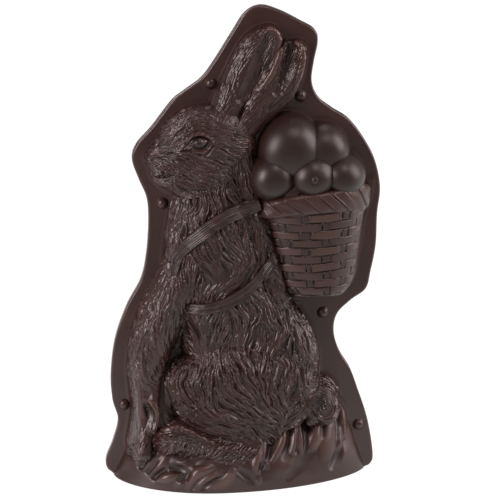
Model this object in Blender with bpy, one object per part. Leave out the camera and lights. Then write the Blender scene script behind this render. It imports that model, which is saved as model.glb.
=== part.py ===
# Chocolate bunny cast as a half relief: a rabbit seen from its left side with a basket of eggs on its back,
# standing out of a flat flange that follows its outline, with a half-round foot so that it stands upright.
# It is one solid piece. The back and the underside are flat.
# Drawn in millimetres, x to the right, z up, heights towards the viewer; turned into metres at the end.
import math

import bmesh
import bpy
import numpy as np
from mathutils import Vector
from mathutils.geometry import delaunay_2d_cdt

# Overall sizes
HEIGHT = 280.0              # tip of the flange above the table
FLANGE_THICKNESS = 6.0      # flat flange behind the relief
FLANGE_EDGE = 1.5           # rounding of the flange's front edge
EDGE_TURN = 0.96            # how much of a quarter round that edge is
FREE_OF_ROUNDING = 3.0      # relief of this height on the edge is not rounded with it
FOOT_DEPTH = 38.4           # foot in front of the flange's face
WALL_SLOPE = 5.0            # draft of the relief's outer wall, rise over run
WALL_FILLET = 7.0           # how soon the wall turns into the rounded front
LEDGE_HEIGHT = 0.5          # low step on the flange round the figure
LEDGE_WIDTH = 2.0
BOSS_RADIUS = 3.1           # registration bosses on the flange
BOSS_HEIGHT = 2.6
MIDDLE_X = 1.5              # middle of the whole in x, on which the part is centred
MESH_PITCH = 0.62           # spacing of the points that the relief is worked out on
UNDERSIDE_PITCH = 1.5       # spacing of the points along the underside
BACK_PITCH = 9.0            # and of those on the flat back
FACES_KEPT = 11400
MM = 0.001

# Outline of the flange, from the left end of the foot round the top to the right end of the foot
FLANGE = [(-74.5, 0), (-78.6, 3.5), (-79.2, 9.6), (-75.0, 20.7), (-71.9, 33.8), (-75.0, 46.3), (-75.7, 62.5),
          (-73.0, 83.3), (-66.0, 103.3), (-57.4, 119.8), (-54.0, 136.4), (-52.7, 155.6), (-53.7, 168.8),
          (-58.2, 180.2), (-61.8, 191.6), (-59.1, 200.4), (-50.4, 210.2), (-39.1, 224.9), (-32.2, 230.6),
          (-21.8, 238.3), (-14.4, 248.1), (-4.0, 264.7), (3.5, 275.9), (12.5, HEIGHT), (23.3, 276.9),
          (34.8, 270.9), (43.4, 265.6), (45.2, 258.6), (43.0, 247.0), (41.9, 235.3), (46.0, 225.8),
          (54.1, 219.2), (63.5, 212.8), (72.3, 201.4), (78.9, 188.4), (82.2, 172.0), (80.7, 156.0),
          (80.1, 137.3), (77.3, 121.5), (74.5, 110.6), (65.7, 103.8), (57.8, 95.7), (55.8, 85.3),
          (58.9, 73.4), (65.9, 61.1), (70.8, 47.5), (75.4, 33.6), (78.3, 20.3), (80.0, 6.5), (78.5, 1.6),
          (75.0, 0)]
BOSSES = [(-16.2, 235.6), (35.2, 227.3), (-44.4, 165.4), (49.1, 97.0), (-68.0, 43.5), (70.8, 26.7)]

# Limbs of the figure. Each station is x, z, half width at the flange and height of the crest.
HEAD = [(-47.5, 190.5, 7.0, 10), (-43, 191.5, 10.3, 14), (-37, 193, 13.8, 17.5), (-29, 196.5, 18.6, 20),
        (-22, 201, 22.8, 21.5), (-12, 202, 20.5, 22), (-7, 202, 16, 21)]
TORSO = [(-18, 184, 17, 20), (-15.5, 174, 20, 21.5), (-16, 160, 25, 24), (-14.5, 146, 29.3, 26),
         (-13, 132, 32.5, 27), (-11.5, 118, 34, 27), (-3, 103, 34.5, 26), (6, 88, 33.5, 26),
         (14, 73, 32.5, 27), (18, 62, 30, 27)]
HAUNCH = [(-24, 57, 20.5, 28), (-14, 56.5, 25, 31.5), (-2, 58, 29, 33), (10, 60, 29.5, 33), (20, 60, 26, 30)]
ARM = [(-31, 130, 12, 26), (-38, 116, 13, 27), (-45, 102, 13.4, 26.5), (-50.5, 90, 13.2, 25),
       (-54.5, 78, 11.3, 24), (-57, 66, 8.8, 22), (-57.5, 54, 7.6, 21.5), (-56.4, 42, 7.2, 22),
       (-56, 31, 8, 26), (-57, 22, 9, 30)]
HIND_FOOT = [(-41.5, 28, 8.5, 34), (-35.5, 29.5, 10, 35.5), (-27, 26.5, 9, 36.5), (-16, 22.5, 8, 36.3),
             (-4, 20.5, 6.5, 35), (6, 19.5, 4.5, 32.5)]
KNEE_FOLD = [(30.5, 50, 8, 31), (32.5, 46.5, 8.5, 32)]
TAIL = [(45, 50, 10, 23), (48, 48, 11.5, 22), (48.5, 43, 11.5, 22)]
NEAR_EAR = [(-8, 216, 9, 16), (-4, 227, 10.5, 11.5), (2, 238, 12.8, 10), (8.5, 248, 12.6, 9.5),
            (14.5, 257, 10, 9), (17.5, 260.5, 8, 8)]
FAR_EAR = [(2, 212, 8.5, 15), (13, 220.5, 8.5, 11.5), (22, 230, 9.4, 10), (27.5, 240, 9.2, 9),
           (31, 249, 7.6, 8.5), (32.8, 255.3, 6, 7.5)]
# Hollows of the ears; the last number is their depth
NEAR_HOLLOW = [(0, 226, 3.5, 1), (4, 236, 5.6, 4), (10, 248, 6.6, 5.5), (15.5, 258, 5.5, 4), (17.5, 262, 3, 2)]
FAR_HOLLOW = [(24, 231, 2, 1), (27, 241, 3.8, 4.5), (30.2, 251, 4, 4.5), (31.5, 257, 2.6, 3)]
# Floors of the deep creases, which stop well above the flange
POCKET = [(-38, 92, 14, 11), (-40, 78, 14, 9), (-45, 62, 12, 10), (-46, 45, 10, 14), (-44, 36, 10, 18)]
PACK_CREASE = [(11, 214, 7, 12), (9, 200, 9, 12), (7, 186, 8, 13), (10, 168, 9, 15), (17, 150, 9, 13),
               (22, 130, 9, 12), (27, 117, 7, 10)]
# Straps that hold the basket
UPPER_STRAP = [(8, 168, 2.8, 23), (-1.6, 165.7, 2.8, 25.6), (-10.2, 161.7, 2.8, 27), (-18.8, 157.2, 2.8, 27),
               (-26.3, 152.4, 2.8, 26.5), (-33.2, 146.6, 2.7, 25), (-37.8, 140.5, 2.5, 23.5),
               (-40.5, 133.4, 2.2, 21)]
LOWER_STRAP = [(18.5, 138, 2.6, 19), (12.7, 129.6, 3, 24.8), (5.2, 122.4, 3.2, 28), (-2.9, 116.7, 3.5, 29),
               (-12.1, 112.2, 3.7, 29.5), (-22.0, 109.4, 3.7, 29.5), (-30.6, 108.6, 3, 28)]
# Middle of the whole figure, where the outer wall has no part; only the half widths count
CORE_BODY = [(-33, 196, 12, 0), (-15, 199, 18, 0), (-14, 174, 18, 0), (-14, 146, 28, 0), (-8, 118, 34, 0),
             (6, 92, 34, 0), (12, 70, 36, 0), (8, 52, 36, 0), (-10, 40, 34, 0)]
CORE_JOIN = [(-10, 215, 12, 0), (8, 213, 12, 0), (9, 195, 16, 0), (12, 172, 16, 0), (20, 140, 18, 0),
             (28, 120, 13, 0)]
CORE_FEET = [(-52, 40, 10, 0), (-40, 30, 22, 0), (0, 30, 30, 0), (44, 32, 20, 0)]

# Eggs: middle x and z, half width, half height, height of the middle, depth
EGGS = [(28, 200, 17, 21, 8, 19), (50, 196, 13.8, 16, 6, 16), (60.5, 182.5, 11.5, 13, 10, 15),
        (17, 182, 12.2, 11.5, 10, 18), (41, 182, 12.3, 13.5, 10, 19)]

# Basket: a half cup with a thick rim
BASKET_X = 45.3             # its middle at the rim
BASKET_LEAN = 0.04          # the cup leans this much to the left going up, and its rim rises to the right
BASKET_BOTTOM = 109.5
BASKET_TOP = 172.6
BASKET_RADIUS = (21.3, 30.3)   # at the bottom and at the rim
BASKET_DEPTH = (19.0, 25.5)
BASKET_CORNER = 8.0
RIM_MIDDLE = 167.0
RIM_HALF = 5.6
RIM_PROUD = 1.5

# Ground under the figure: its ends at rising heights, and how far it falls back
GROUND_LEVELS = [0, 10, 17, 25, 35, 42]
GROUND_LEFT = [-75.3, -70.5, -67.0, -64.6, -62.0, -60.0]
GROUND_RIGHT = [75.0, 71.5, 69.0, 66.3, 61.5, 58.0]
GROUND_CREST_X = -14.0
GROUND_FALL_LEVELS = [0, 8, 13, 18, 25, 33, 40, 44]
GROUND_FALL = [1, 0.99, 0.965, 0.91, 0.82, 0.72, 0.5, 0.0]

# Face
EYE = (-24.4, 205.2)
EYE_HALF = (5.2, 3.2)
EYE_TILT = math.radians(15)
EYE_PROUD = 0.9
MOUTH = [(-50, 184.6, 0.9, 0.9), (-45, 185.2, 0.9, 0.9), (-40.5, 186.6, 0.8, 0.7)]


def through(stations, steps):
    """Rows on the smooth curve through the stations, with a number of steps between each two."""
    p = np.array(stations, float)
    q = np.vstack([2 * p[0] - p[1], p, 2 * p[-1] - p[-2]])
    t = (np.arange(steps) / steps)[:, None]
    rows = []
    for a, b, c, d in zip(q, q[1:], q[2:], q[3:]):
        rows.append(b + 0.5 * t * (c - a + t * (2 * a - 5 * b + 4 * c - d + t * (3 * b - a - 3 * c + d))))
    return np.vstack(rows + [p[-1:]])


def limb(x, z, stations, fullness=2.2):
    """Height of a rounded limb along its stations, and the distance inside its outline."""
    rows = through(stations, 6)
    height = np.full(x.shape, -99.0)
    inside = np.full(x.shape, -99.0)
    for (ax, az, ar, ah), (bx, bz, br, bh) in zip(rows, rows[1:]):
        ux, uz = bx - ax, bz - az
        t = np.clip(((x - ax) * ux + (z - az) * uz) / (ux * ux + uz * uz), 0, 1)
        away = np.hypot(x - ax - ux * t, z - az - uz * t)
        r = ar + (br - ar) * t
        crest = ah + (bh - ah) * t
        dome = crest * np.maximum(1 - (away / r) ** fullness, 0) ** (1 / fullness)
        height = np.maximum(height, np.where(away < r, dome, WALL_SLOPE * (r - away)))
        inside = np.maximum(inside, r - away)
    return height, inside


def blend(a, b, fillet):
    """The higher of two heights, with the crease between them filled."""
    return np.maximum(a, b) + np.maximum(fillet - np.abs(a - b), 0) ** 2 / (4 * fillet)


def egg(x, z, middle_x, middle_z, half_x, half_z, level, depth):
    """Height of an egg that lies in the basket, and the distance inside its outline."""
    u = np.hypot((x - middle_x) / half_x, (z - middle_z) / half_z)
    height = level + depth * np.sqrt(np.maximum(1 - u * u, 0)) - 60 * np.maximum(u - 1, 0)
    return height, (1 - u) * min(half_x, half_z)


def basket(x, z):
    """Height of the half cup with its rim, and the distance inside its outline."""
    along = z - BASKET_LEAN * (x - BASKET_X)
    away = np.abs(x - BASKET_X - (BASKET_TOP - z) * BASKET_LEAN)
    share = np.clip((along - BASKET_BOTTOM) / (BASKET_TOP - BASKET_BOTTOM), 0, 1)
    rim = RIM_PROUD * np.clip(1 - ((along - RIM_MIDDLE) / RIM_HALF) ** 6, 0, 1)
    low = np.maximum(1 - (along - BASKET_BOTTOM) / BASKET_CORNER, 0)
    radius = BASKET_RADIUS[0] + (BASKET_RADIUS[1] - BASKET_RADIUS[0]) * share + 0.6 * rim - 6 * low ** 2
    across = np.clip(away / radius, 0, 1)
    depth = BASKET_DEPTH[0] + (BASKET_DEPTH[1] - BASKET_DEPTH[0]) * share + rim - 6 * low ** 3
    height = depth * np.sqrt(1 - across ** 2.2)
    lip = np.clip((BASKET_TOP - along) / 1.2, 0, 1)
    behind_rim = 15.0
    rounded = behind_rim + (height - behind_rim) * np.sqrt(lip * (2 - lip))
    height = np.where(along > BASKET_TOP - 1.2, np.minimum(height, rounded), height)
    inside = np.min([radius - away, along - BASKET_BOTTOM, BASKET_TOP + 4 - along], axis=0)
    return np.where(inside < 0, WALL_SLOPE * inside, height), inside


def ground(x, z):
    """Height of the ground, a half-round foot that falls back as it rises, and the distance inside it."""
    left = np.interp(z, GROUND_LEVELS, GROUND_LEFT)
    right = np.interp(z, GROUND_LEVELS, GROUND_RIGHT)
    side = x > GROUND_CREST_X
    u = np.clip((x - GROUND_CREST_X) / (np.where(side, right, left) - GROUND_CREST_X), 0, 1)
    front = FOOT_DEPTH * (1 - u * u) ** np.where(side, 0.65, 0.58)
    top = GROUND_FALL_LEVELS[-1]
    height = front * np.interp(z, GROUND_FALL_LEVELS, GROUND_FALL)
    inside = np.minimum(x - left, right - x)
    inside = np.minimum(inside, (top - z) * 2)
    return np.where(inside < 0, WALL_SLOPE * inside, height), inside


def walled(height, inside):
    """The height kept below the drafted outer wall, with a rounded turn between the two."""
    return -blend(-height, -WALL_SLOPE * inside - 1, WALL_FILLET)


def relief(x, z):
    """Height of the whole front above the flange's face."""
    torso, in_torso = limb(x, z, TORSO)
    haunch, in_haunch = limb(x, z, HAUNCH)
    arm, in_arm = limb(x, z, ARM)
    pocket, in_pocket = limb(x, z, POCKET, 3)
    head, in_head = limb(x, z, HEAD, 2.4)
    tail, in_tail = limb(x, z, TAIL)
    fold, in_fold = limb(x, z, KNEE_FOLD)
    near, in_near = limb(x, z, NEAR_EAR, 3)
    far, in_far = limb(x, z, FAR_EAR, 3)
    near = near - np.maximum(limb(x, z, NEAR_HOLLOW, 1.4)[0], 0)
    far = far - np.maximum(limb(x, z, FAR_HOLLOW, 1.4)[0], 0)
    height = blend(torso, haunch, 4)
    height = blend(height, arm, 3)
    height = blend(height, pocket, 4)
    height = blend(height, head, 2)
    height = blend(height, tail, 3)
    height = blend(height, fold, 1.5)
    height = blend(height, np.maximum(near, far), 5)
    height = height + face(x, z)
    soil, in_soil = ground(x, z)
    height = blend(blend(height, soil, 3), limb(x, z, HIND_FOOT, 2.4)[0], 4)
    parts = [in_torso, in_haunch, in_arm, in_pocket, in_head, in_tail, in_fold, in_near, in_far, in_soil]
    cores = [limb(x, z, row)[1] for row in (CORE_BODY, CORE_JOIN, CORE_FEET)]
    inside = np.max(parts + cores, axis=0)
    height = walled(height, inside)
    for row in (UPPER_STRAP, LOWER_STRAP):
        height = blend(height, limb(x, z, row, 3)[0], 0.8)
    cup, in_cup = basket(x, z)
    height = np.max([height, limb(x, z, PACK_CREASE, 3)[0], walled(cup, in_cup)], axis=0)
    inside = np.maximum(inside, in_cup)
    for row in EGGS:
        one, in_one = egg(x, z, *row)
        height = np.maximum(height, one)
        inside = np.maximum(inside, in_one)
    ledge = LEDGE_HEIGHT * np.clip((inside + LEDGE_WIDTH) / 0.5, 0, 1)
    height = np.maximum(height, np.where(inside < 0.3, ledge, -9))
    for boss_x, boss_z in BOSSES:
        u = np.hypot(x - boss_x, z - boss_z) / BOSS_RADIUS
        height = np.maximum(height, BOSS_HEIGHT * np.sqrt(np.maximum(1 - u * u, 0)))
    return np.maximum(height, 0)


def face(x, z):
    """What the eye and the mouth add to the head."""
    dx, dz = x - EYE[0], z - EYE[1]
    along = dx * math.cos(EYE_TILT) + dz * math.sin(EYE_TILT)
    across = dz * math.cos(EYE_TILT) - dx * math.sin(EYE_TILT)
    u = np.hypot(along / EYE_HALF[0], across / EYE_HALF[1])
    ball = EYE_PROUD * np.sqrt(np.maximum(1 - u * u, 0))
    lid = -0.8 * np.exp(-((u - 1.08) / 0.16) ** 2) + 0.6 * np.exp(-((u - 1.45) / 0.2) ** 2)
    return ball + lid - np.maximum(limb(x, z, MOUTH, 2)[0], 0)


def distance_to(x, z, chain):
    """Distance to an open chain of points."""
    nearest = np.full(x.shape, 1e9)
    for (ax, az), (bx, bz) in zip(chain, chain[1:]):
        ux, uz = bx - ax, bz - az
        t = np.clip(((x - ax) * ux + (z - az) * uz) / (ux * ux + uz * uz), 0, 1)
        nearest = np.minimum(nearest, np.hypot(x - ax - ux * t, z - az - uz * t))
    return nearest


def within(x, z, loop):
    """Whether points lie inside a closed chain of points."""
    odd = np.zeros(x.shape, bool)
    for (ax, az), (bx, bz) in zip(loop, np.roll(loop, -1, 0)):
        if az != bz:
            odd ^= ((az > z) != (bz > z)) & (x < ax + (z - az) * (bx - ax) / (bz - az))
    return odd


def staggered(pitch, outline, clear):
    """Points in staggered rows inside the outline, kept a distance clear of it."""
    rows = np.arange(pitch, HEIGHT, pitch * math.sqrt(0.75))
    columns = np.arange(outline[:, 0].min(), outline[:, 0].max(), pitch)
    x, z = np.meshgrid(columns, rows)
    x = x + (np.arange(len(rows)) % 2)[:, None] * pitch / 2
    x, z = x.ravel(), z.ravel()
    keep = within(x, z, outline) & (distance_to(x, z, np.vstack([outline, outline[:1]])) > clear)
    return np.stack([x[keep], z[keep]], 1)


def filled(outline, inner):
    """Triangles over the inside of the outline, on its own points and the inner ones."""
    chain = [(i, (i + 1) % len(outline)) for i in range(len(outline))]
    points = [Vector(p) for p in np.vstack([outline, inner]).tolist()]
    flat, _, faces, _, _, _ = delaunay_2d_cdt(points, chain, [], 0, 1e-6)
    flat = np.array([tuple(p) for p in flat])
    faces = np.array(faces)
    centres = flat[faces].mean(1)
    return flat, faces[within(centres[:, 0], centres[:, 1], outline)].tolist()


for old in list(bpy.data.objects):
    bpy.data.objects.remove(old, do_unlink=True)

# The outline of the flange: its curved sides, then the straight underside that it stands on
sides = through(FLANGE, 5)
sides[:, 1] = np.maximum(sides[:, 1], 0)
count = round((FLANGE[-1][0] - FLANGE[0][0]) / UNDERSIDE_PITCH)
underside = np.linspace(FLANGE[-1][0], FLANGE[0][0], count)[1:-1]
outline = np.vstack([sides, np.stack([underside, np.zeros(len(underside))], 1)])

# The front is the relief; along the sides the edge of the flange is rounded
flat, front_faces = filled(outline, staggered(MESH_PITCH, outline, MESH_PITCH * 0.6))
height = relief(flat[:, 0], flat[:, 1])
near_side = np.clip(1 - distance_to(flat[:, 0], flat[:, 1], sides) / FLANGE_EDGE, 0, 1)
rounding = FLANGE_EDGE * (1 - np.sqrt(1 - EDGE_TURN * near_side ** 2))
height = height - rounding * np.clip(1 - height / FREE_OF_ROUNDING, 0, 1)
rear, back_faces = filled(outline, staggered(BACK_PITCH, outline, BACK_PITCH * 0.6))

mesh_data = bmesh.new()
front = [mesh_data.verts.new((x, -h, z)) for (x, z), h in zip(flat.tolist(), height.tolist())]
back = [mesh_data.verts.new((x, FLANGE_THICKNESS, z)) for x, z in rear.tolist()]
for face_points in front_faces:
    mesh_data.faces.new([front[i] for i in face_points])
for face_points in back_faces:
    mesh_data.faces.new([back[i] for i in face_points])
ring = len(outline)
for i in range(ring):
    j = (i + 1) % ring
    mesh_data.faces.new([front[i], front[j], back[j], back[i]])
bmesh.ops.triangulate(mesh_data, faces=mesh_data.faces[:])
bmesh.ops.recalc_face_normals(mesh_data, faces=mesh_data.faces[:])
middle_y = (FLANGE_THICKNESS - FOOT_DEPTH) / 2
bmesh.ops.translate(mesh_data, verts=mesh_data.verts[:], vec=(-MIDDLE_X, -middle_y, 0))
bmesh.ops.scale(mesh_data, verts=mesh_data.verts[:], vec=(MM, MM, MM))
mesh = bpy.data.meshes.new("chocolate_bunny")
mesh_data.to_mesh(mesh)
mesh_data.free()
bunny = bpy.data.objects.new("chocolate_bunny", mesh)
bpy.context.scene.collection.objects.link(bunny)

thin = bunny.modifiers.new("thin", "DECIMATE")
thin.decimate_type = "COLLAPSE"
thin.ratio = FACES_KEPT / len(mesh.polygons)
thin.use_collapse_triangulate = True
thinned = bpy.data.meshes.new_from_object(bunny.evaluated_get(bpy.context.evaluated_depsgraph_get()))
bunny.modifiers.clear()

# The underside and the back are truly flat
spots = np.empty(len(thinned.vertices) * 3)
thinned.vertices.foreach_get("co", spots)
spots = spots.reshape(-1, 3)
back_y = (FLANGE_THICKNESS - middle_y) * MM
flat_within = 0.05 * MM     # points this near to either face belong to it
spots[np.abs(spots[:, 2]) < flat_within, 2] = 0
spots[np.abs(spots[:, 1] - back_y) < flat_within, 1] = back_y
thinned.vertices.foreach_set("co", spots.ravel())
bunny.data = thinned

chocolate = bpy.data.materials.new("chocolate")
chocolate.use_nodes = True
shader = chocolate.node_tree.nodes["Principled BSDF"]
shader.inputs["Base Color"].default_value = (0.060, 0.036, 0.030, 1)
shader.inputs["Roughness"].default_value = 0.42
thinned.materials.append(chocolate)
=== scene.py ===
import math

import bpy
import numpy as np
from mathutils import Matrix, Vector


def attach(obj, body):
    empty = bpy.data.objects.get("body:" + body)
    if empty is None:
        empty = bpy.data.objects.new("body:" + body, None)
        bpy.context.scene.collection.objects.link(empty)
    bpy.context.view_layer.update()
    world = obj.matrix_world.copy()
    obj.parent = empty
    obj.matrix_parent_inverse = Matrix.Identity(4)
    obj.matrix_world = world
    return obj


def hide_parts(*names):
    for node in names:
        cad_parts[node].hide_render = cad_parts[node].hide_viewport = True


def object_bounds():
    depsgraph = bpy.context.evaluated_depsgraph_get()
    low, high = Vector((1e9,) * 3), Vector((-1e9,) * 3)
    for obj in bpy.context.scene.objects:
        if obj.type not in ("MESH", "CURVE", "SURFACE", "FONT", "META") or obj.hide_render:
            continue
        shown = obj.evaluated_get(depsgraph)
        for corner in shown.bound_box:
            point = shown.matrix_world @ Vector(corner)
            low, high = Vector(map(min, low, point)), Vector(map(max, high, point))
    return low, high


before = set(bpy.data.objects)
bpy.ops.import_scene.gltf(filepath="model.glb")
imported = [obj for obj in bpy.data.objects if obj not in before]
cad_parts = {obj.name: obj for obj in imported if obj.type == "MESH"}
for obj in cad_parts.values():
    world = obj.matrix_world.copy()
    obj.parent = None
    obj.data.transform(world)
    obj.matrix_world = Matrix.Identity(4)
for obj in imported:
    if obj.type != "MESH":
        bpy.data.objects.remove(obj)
cad_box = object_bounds()

# The camera looks from 16 degrees above and 5 degrees left of square on, through a long lens. The whole scene
# is drawn in millimetres: x to the right, z up from the table, and y back from the flat face of the flange,
# which lies one flange thickness in front of the casting's back.
MM = 0.001
FLANGE_THICKNESS = 6.0
MIDDLE_X = 1.5
FACE_Y = cad_box[1].y / MM - FLANGE_THICKNESS


def placed(x, y, z):
    """The place in the scene, in metres, of a point drawn in millimetres from the flange's face."""
    return np.stack([x - MIDDLE_X, y + FACE_Y, z], -1) * MM


CAMERA_TARGET = (6.2, 0.0, 136.1)
CAMERA_DISTANCE = 1600.0
CAMERA_AZIMUTH = math.radians(-5.05)
CAMERA_ELEVATION = math.radians(16.0)
SENSOR_WIDTH = 36.0
LENS = 198.0
camera = bpy.data.objects.new("camera", bpy.data.cameras.new("camera"))
bpy.context.scene.collection.objects.link(camera)
target = Vector(placed(*[np.array(v) for v in CAMERA_TARGET]))
back = Vector((math.sin(CAMERA_AZIMUTH) * math.cos(CAMERA_ELEVATION),
               -math.cos(CAMERA_AZIMUTH) * math.cos(CAMERA_ELEVATION), math.sin(CAMERA_ELEVATION)))
camera.location = target + back * CAMERA_DISTANCE * MM
camera.rotation_mode = "QUATERNION"
camera.rotation_quaternion = (-back).to_track_quat("-Z", "Y")
camera.data.sensor_width = SENSOR_WIDTH
camera.data.lens = LENS
bpy.context.scene.camera = camera

# A white sweep of paper runs under and behind the piece, and glows so evenly that it has no horizon. In front
# it is left dim, so that the chocolate keeps its depth.
PAPER = 3.0
PAPER_GREY = (0.12, 0.12, 0.12, 1)


class Sock:
    """A shader socket on which arithmetic makes Math nodes."""

    def __init__(self, tree, socket):
        self.tree, self.socket = tree, socket

    def node(self, kind, settings, inputs, output=0):
        """A new node of a type, with its settings, the values or links of its sockets, and one output."""
        made = self.tree.nodes.new(kind)
        for name, value in settings.items():
            setattr(made, name, value)
        for name, value in inputs.items():
            if isinstance(value, Sock):
                self.tree.links.new(value.socket, made.inputs[name])
            else:
                made.inputs[name].default_value = value
        return Sock(self.tree, made.outputs[output])

    def math(self, operation, other, clamp=False):
        """A Math node on this value and another."""
        settings = {"operation": operation, "use_clamp": clamp}
        return self.node("ShaderNodeMath", settings, {0: self, 1: other})

    def __add__(self, other):
        return self.math("ADD", other)

    __radd__ = __add__

    def __mul__(self, other):
        return self.math("MULTIPLY", other)

    __rmul__ = __mul__

    def __sub__(self, other):
        return self.math("SUBTRACT", other)

    def __rsub__(self, other):
        return self.math("MULTIPLY", -1.0).math("ADD", other)

    def clamped(self):
        """This value, kept between 0 and 1."""
        return self.math("ADD", 0.0, clamp=True)

    def mix(self, low, high):
        """The colour low where this is 0, and high where it is 1: sockets 6 and 7 of a Mix node."""
        return self.node("ShaderNodeMix", {"data_type": "RGBA"}, {0: self, 6: low, 7: high}, 2)


floor = bpy.data.objects.new("paper", bpy.data.meshes.new("paper"))
corners = [(-PAPER, -PAPER, 0), (PAPER, -PAPER, 0), (PAPER, PAPER, 0), (-PAPER, PAPER, 0)]
floor.data.from_pydata(corners, [], [(0, 1, 2, 3)])
bpy.context.scene.collection.objects.link(floor)
white = bpy.data.materials.new("white_paper")
white.use_nodes = True
white_shader = white.node_tree.nodes["Principled BSDF"]
white_shader.inputs["Base Color"].default_value = PAPER_GREY
white_shader.inputs["Roughness"].default_value = 0.9
sheet = Sock(white.node_tree, None)
depth = sheet.node("ShaderNodeSeparateXYZ", {}, {0: sheet.node("ShaderNodeTexCoord", {}, {}, "Object")}, "Y")
# The glow comes up steeply from 0.26 m in front of the piece, and faintly from 1.5 m in front
steep = ((depth + 0.26) * 7.0).clamped() * 0.58
faint = ((depth + 1.5) * 1.4).clamped() * 0.37
glow = (steep + faint).mix((0, 0, 0, 1), (1, 1, 1, 1))
white.node_tree.links.new(glow.socket, white_shader.inputs["Emission Color"])
white_shader.inputs["Emission Strength"].default_value = 1.0
floor.data.materials.append(white)

# A tall soft box stands on either side of the camera, and smaller ones hang above it and behind the piece, as
# for a shop's picture of one sweet. Their light is a little warm, and the room is dim.
WARM_LIGHT = (1.0, 0.87, 0.87)
ROOM_GREY = (0.25, 0.25, 0.25, 1)
# name, azimuth and elevation in degrees, distance, width and height in metres, watts
SOFT_BOXES = [
    ("left_box", -60, 20, 1.3, 0.45, 0.8, 13.2),
    ("right_box", 84, 26, 1.3, 0.9, 1.0, 15.0),
    ("top_box", 30, 62, 1.4, 0.6, 0.5, 4.0),
    ("back_left_box", -145, 30, 1.3, 0.6, 0.6, 5.5),
    ("back_box", 180, 60, 1.3, 0.7, 0.6, 2.0),
]
world = bpy.data.worlds.new("studio")
bpy.context.scene.world = world
world.use_nodes = True
world.node_tree.nodes["Background"].inputs["Color"].default_value = ROOM_GREY
bpy.context.scene.view_settings.view_transform = "Standard"


def soft_box(name, azimuth, elevation, distance, width, height, watts):
    """A rectangular light at a bearing from the piece, turned towards its middle."""
    a, e = math.radians(azimuth), math.radians(elevation)
    away = Vector((math.sin(a) * math.cos(e), -math.cos(a) * math.cos(e), math.sin(e)))
    data = bpy.data.lights.new(name, "AREA")
    data.shape = "RECTANGLE"
    data.size, data.size_y, data.energy = width, height, watts
    data.color = WARM_LIGHT
    light = bpy.data.objects.new(name, data)
    light.location = target + away * distance
    light.rotation_mode = "QUATERNION"
    light.rotation_quaternion = away.to_track_quat("Z", "Y")
    bpy.context.scene.collection.objects.link(light)


for box in SOFT_BOXES:
    soft_box(*box)

# The ground is the half-round foot that the figure is cast with, of solid dark chocolate like all the rest.
# It is upright at its lower edge and falls back to the flange behind the figure. Long leaves and clods lie on
# its front, a plain band runs round its lower edge, and it stands on its flat underside.
FOOT_DEPTH = 38.4
FOOT_EDGE = 0.8
GROUND_CREST_X = -14.0
GROUND_TOP = 46.0
# Powers of the cosine that shape the foot, seen from above, to either side of its crest
LEFT_BLUNTNESS, RIGHT_BLUNTNESS = 0.58, 0.65
# height, left end, right end, share of the depth that is left
GROUND = [
    (0, -75.3, 75.0, 1), (8, -71.3, 72.2, 0.99), (13, -68.9, 70.5, 0.965), (18, -66.6, 68.6, 0.91),
    (25, -64.6, 66.3, 0.82), (33, -62.5, 62.5, 0.72), (40, -60.6, 59.2, 0.5), (44, -59.5, 57.2, 0.0)]


def through(stations, steps):
    """Rows on the smooth curve through the stations: a Catmull-Rom cubic, in so many steps for each span."""
    p = np.array(stations, float)
    q = np.vstack([2 * p[0] - p[1], p, 2 * p[-1] - p[-2]])
    t = (np.arange(steps) / steps)[:, None]
    rows = []
    for a, b, c, d in zip(q, q[1:], q[2:], q[3:]):
        rows.append(b + 0.5 * t * (c - a + t * (2 * a - 5 * b + 4 * c - d + t * (3 * b - a - 3 * c + d))))
    return np.vstack(rows + [p[-1:]])


def ground_rows(z):
    """Left end, right end and share of the depth of the ground at heights z."""
    rows = through(GROUND, 8)
    return [np.interp(z, rows[:, 0], rows[:, i]) for i in (1, 2, 3)]


def ripple(x, z, size, seed):
    """Smooth uneven field of about -1 to 1: the sum of nine plane waves of about that length, at random."""
    draw = np.random.default_rng(seed)
    total = 0
    for _ in range(9):
        turn = draw.uniform(0, 2 * math.pi)
        phase = draw.uniform(0, 2 * math.pi)
        stretch = draw.uniform(0.7, 1.6)
        along = (x * math.cos(turn) + z * math.sin(turn)) * 2 * math.pi / size / stretch
        total = total + np.sin(along + phase)
    return total / 3


# How steeply the outer walls rise from the flange, so that the casting leaves its mould
WALL_SLOPE = 5.0


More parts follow.
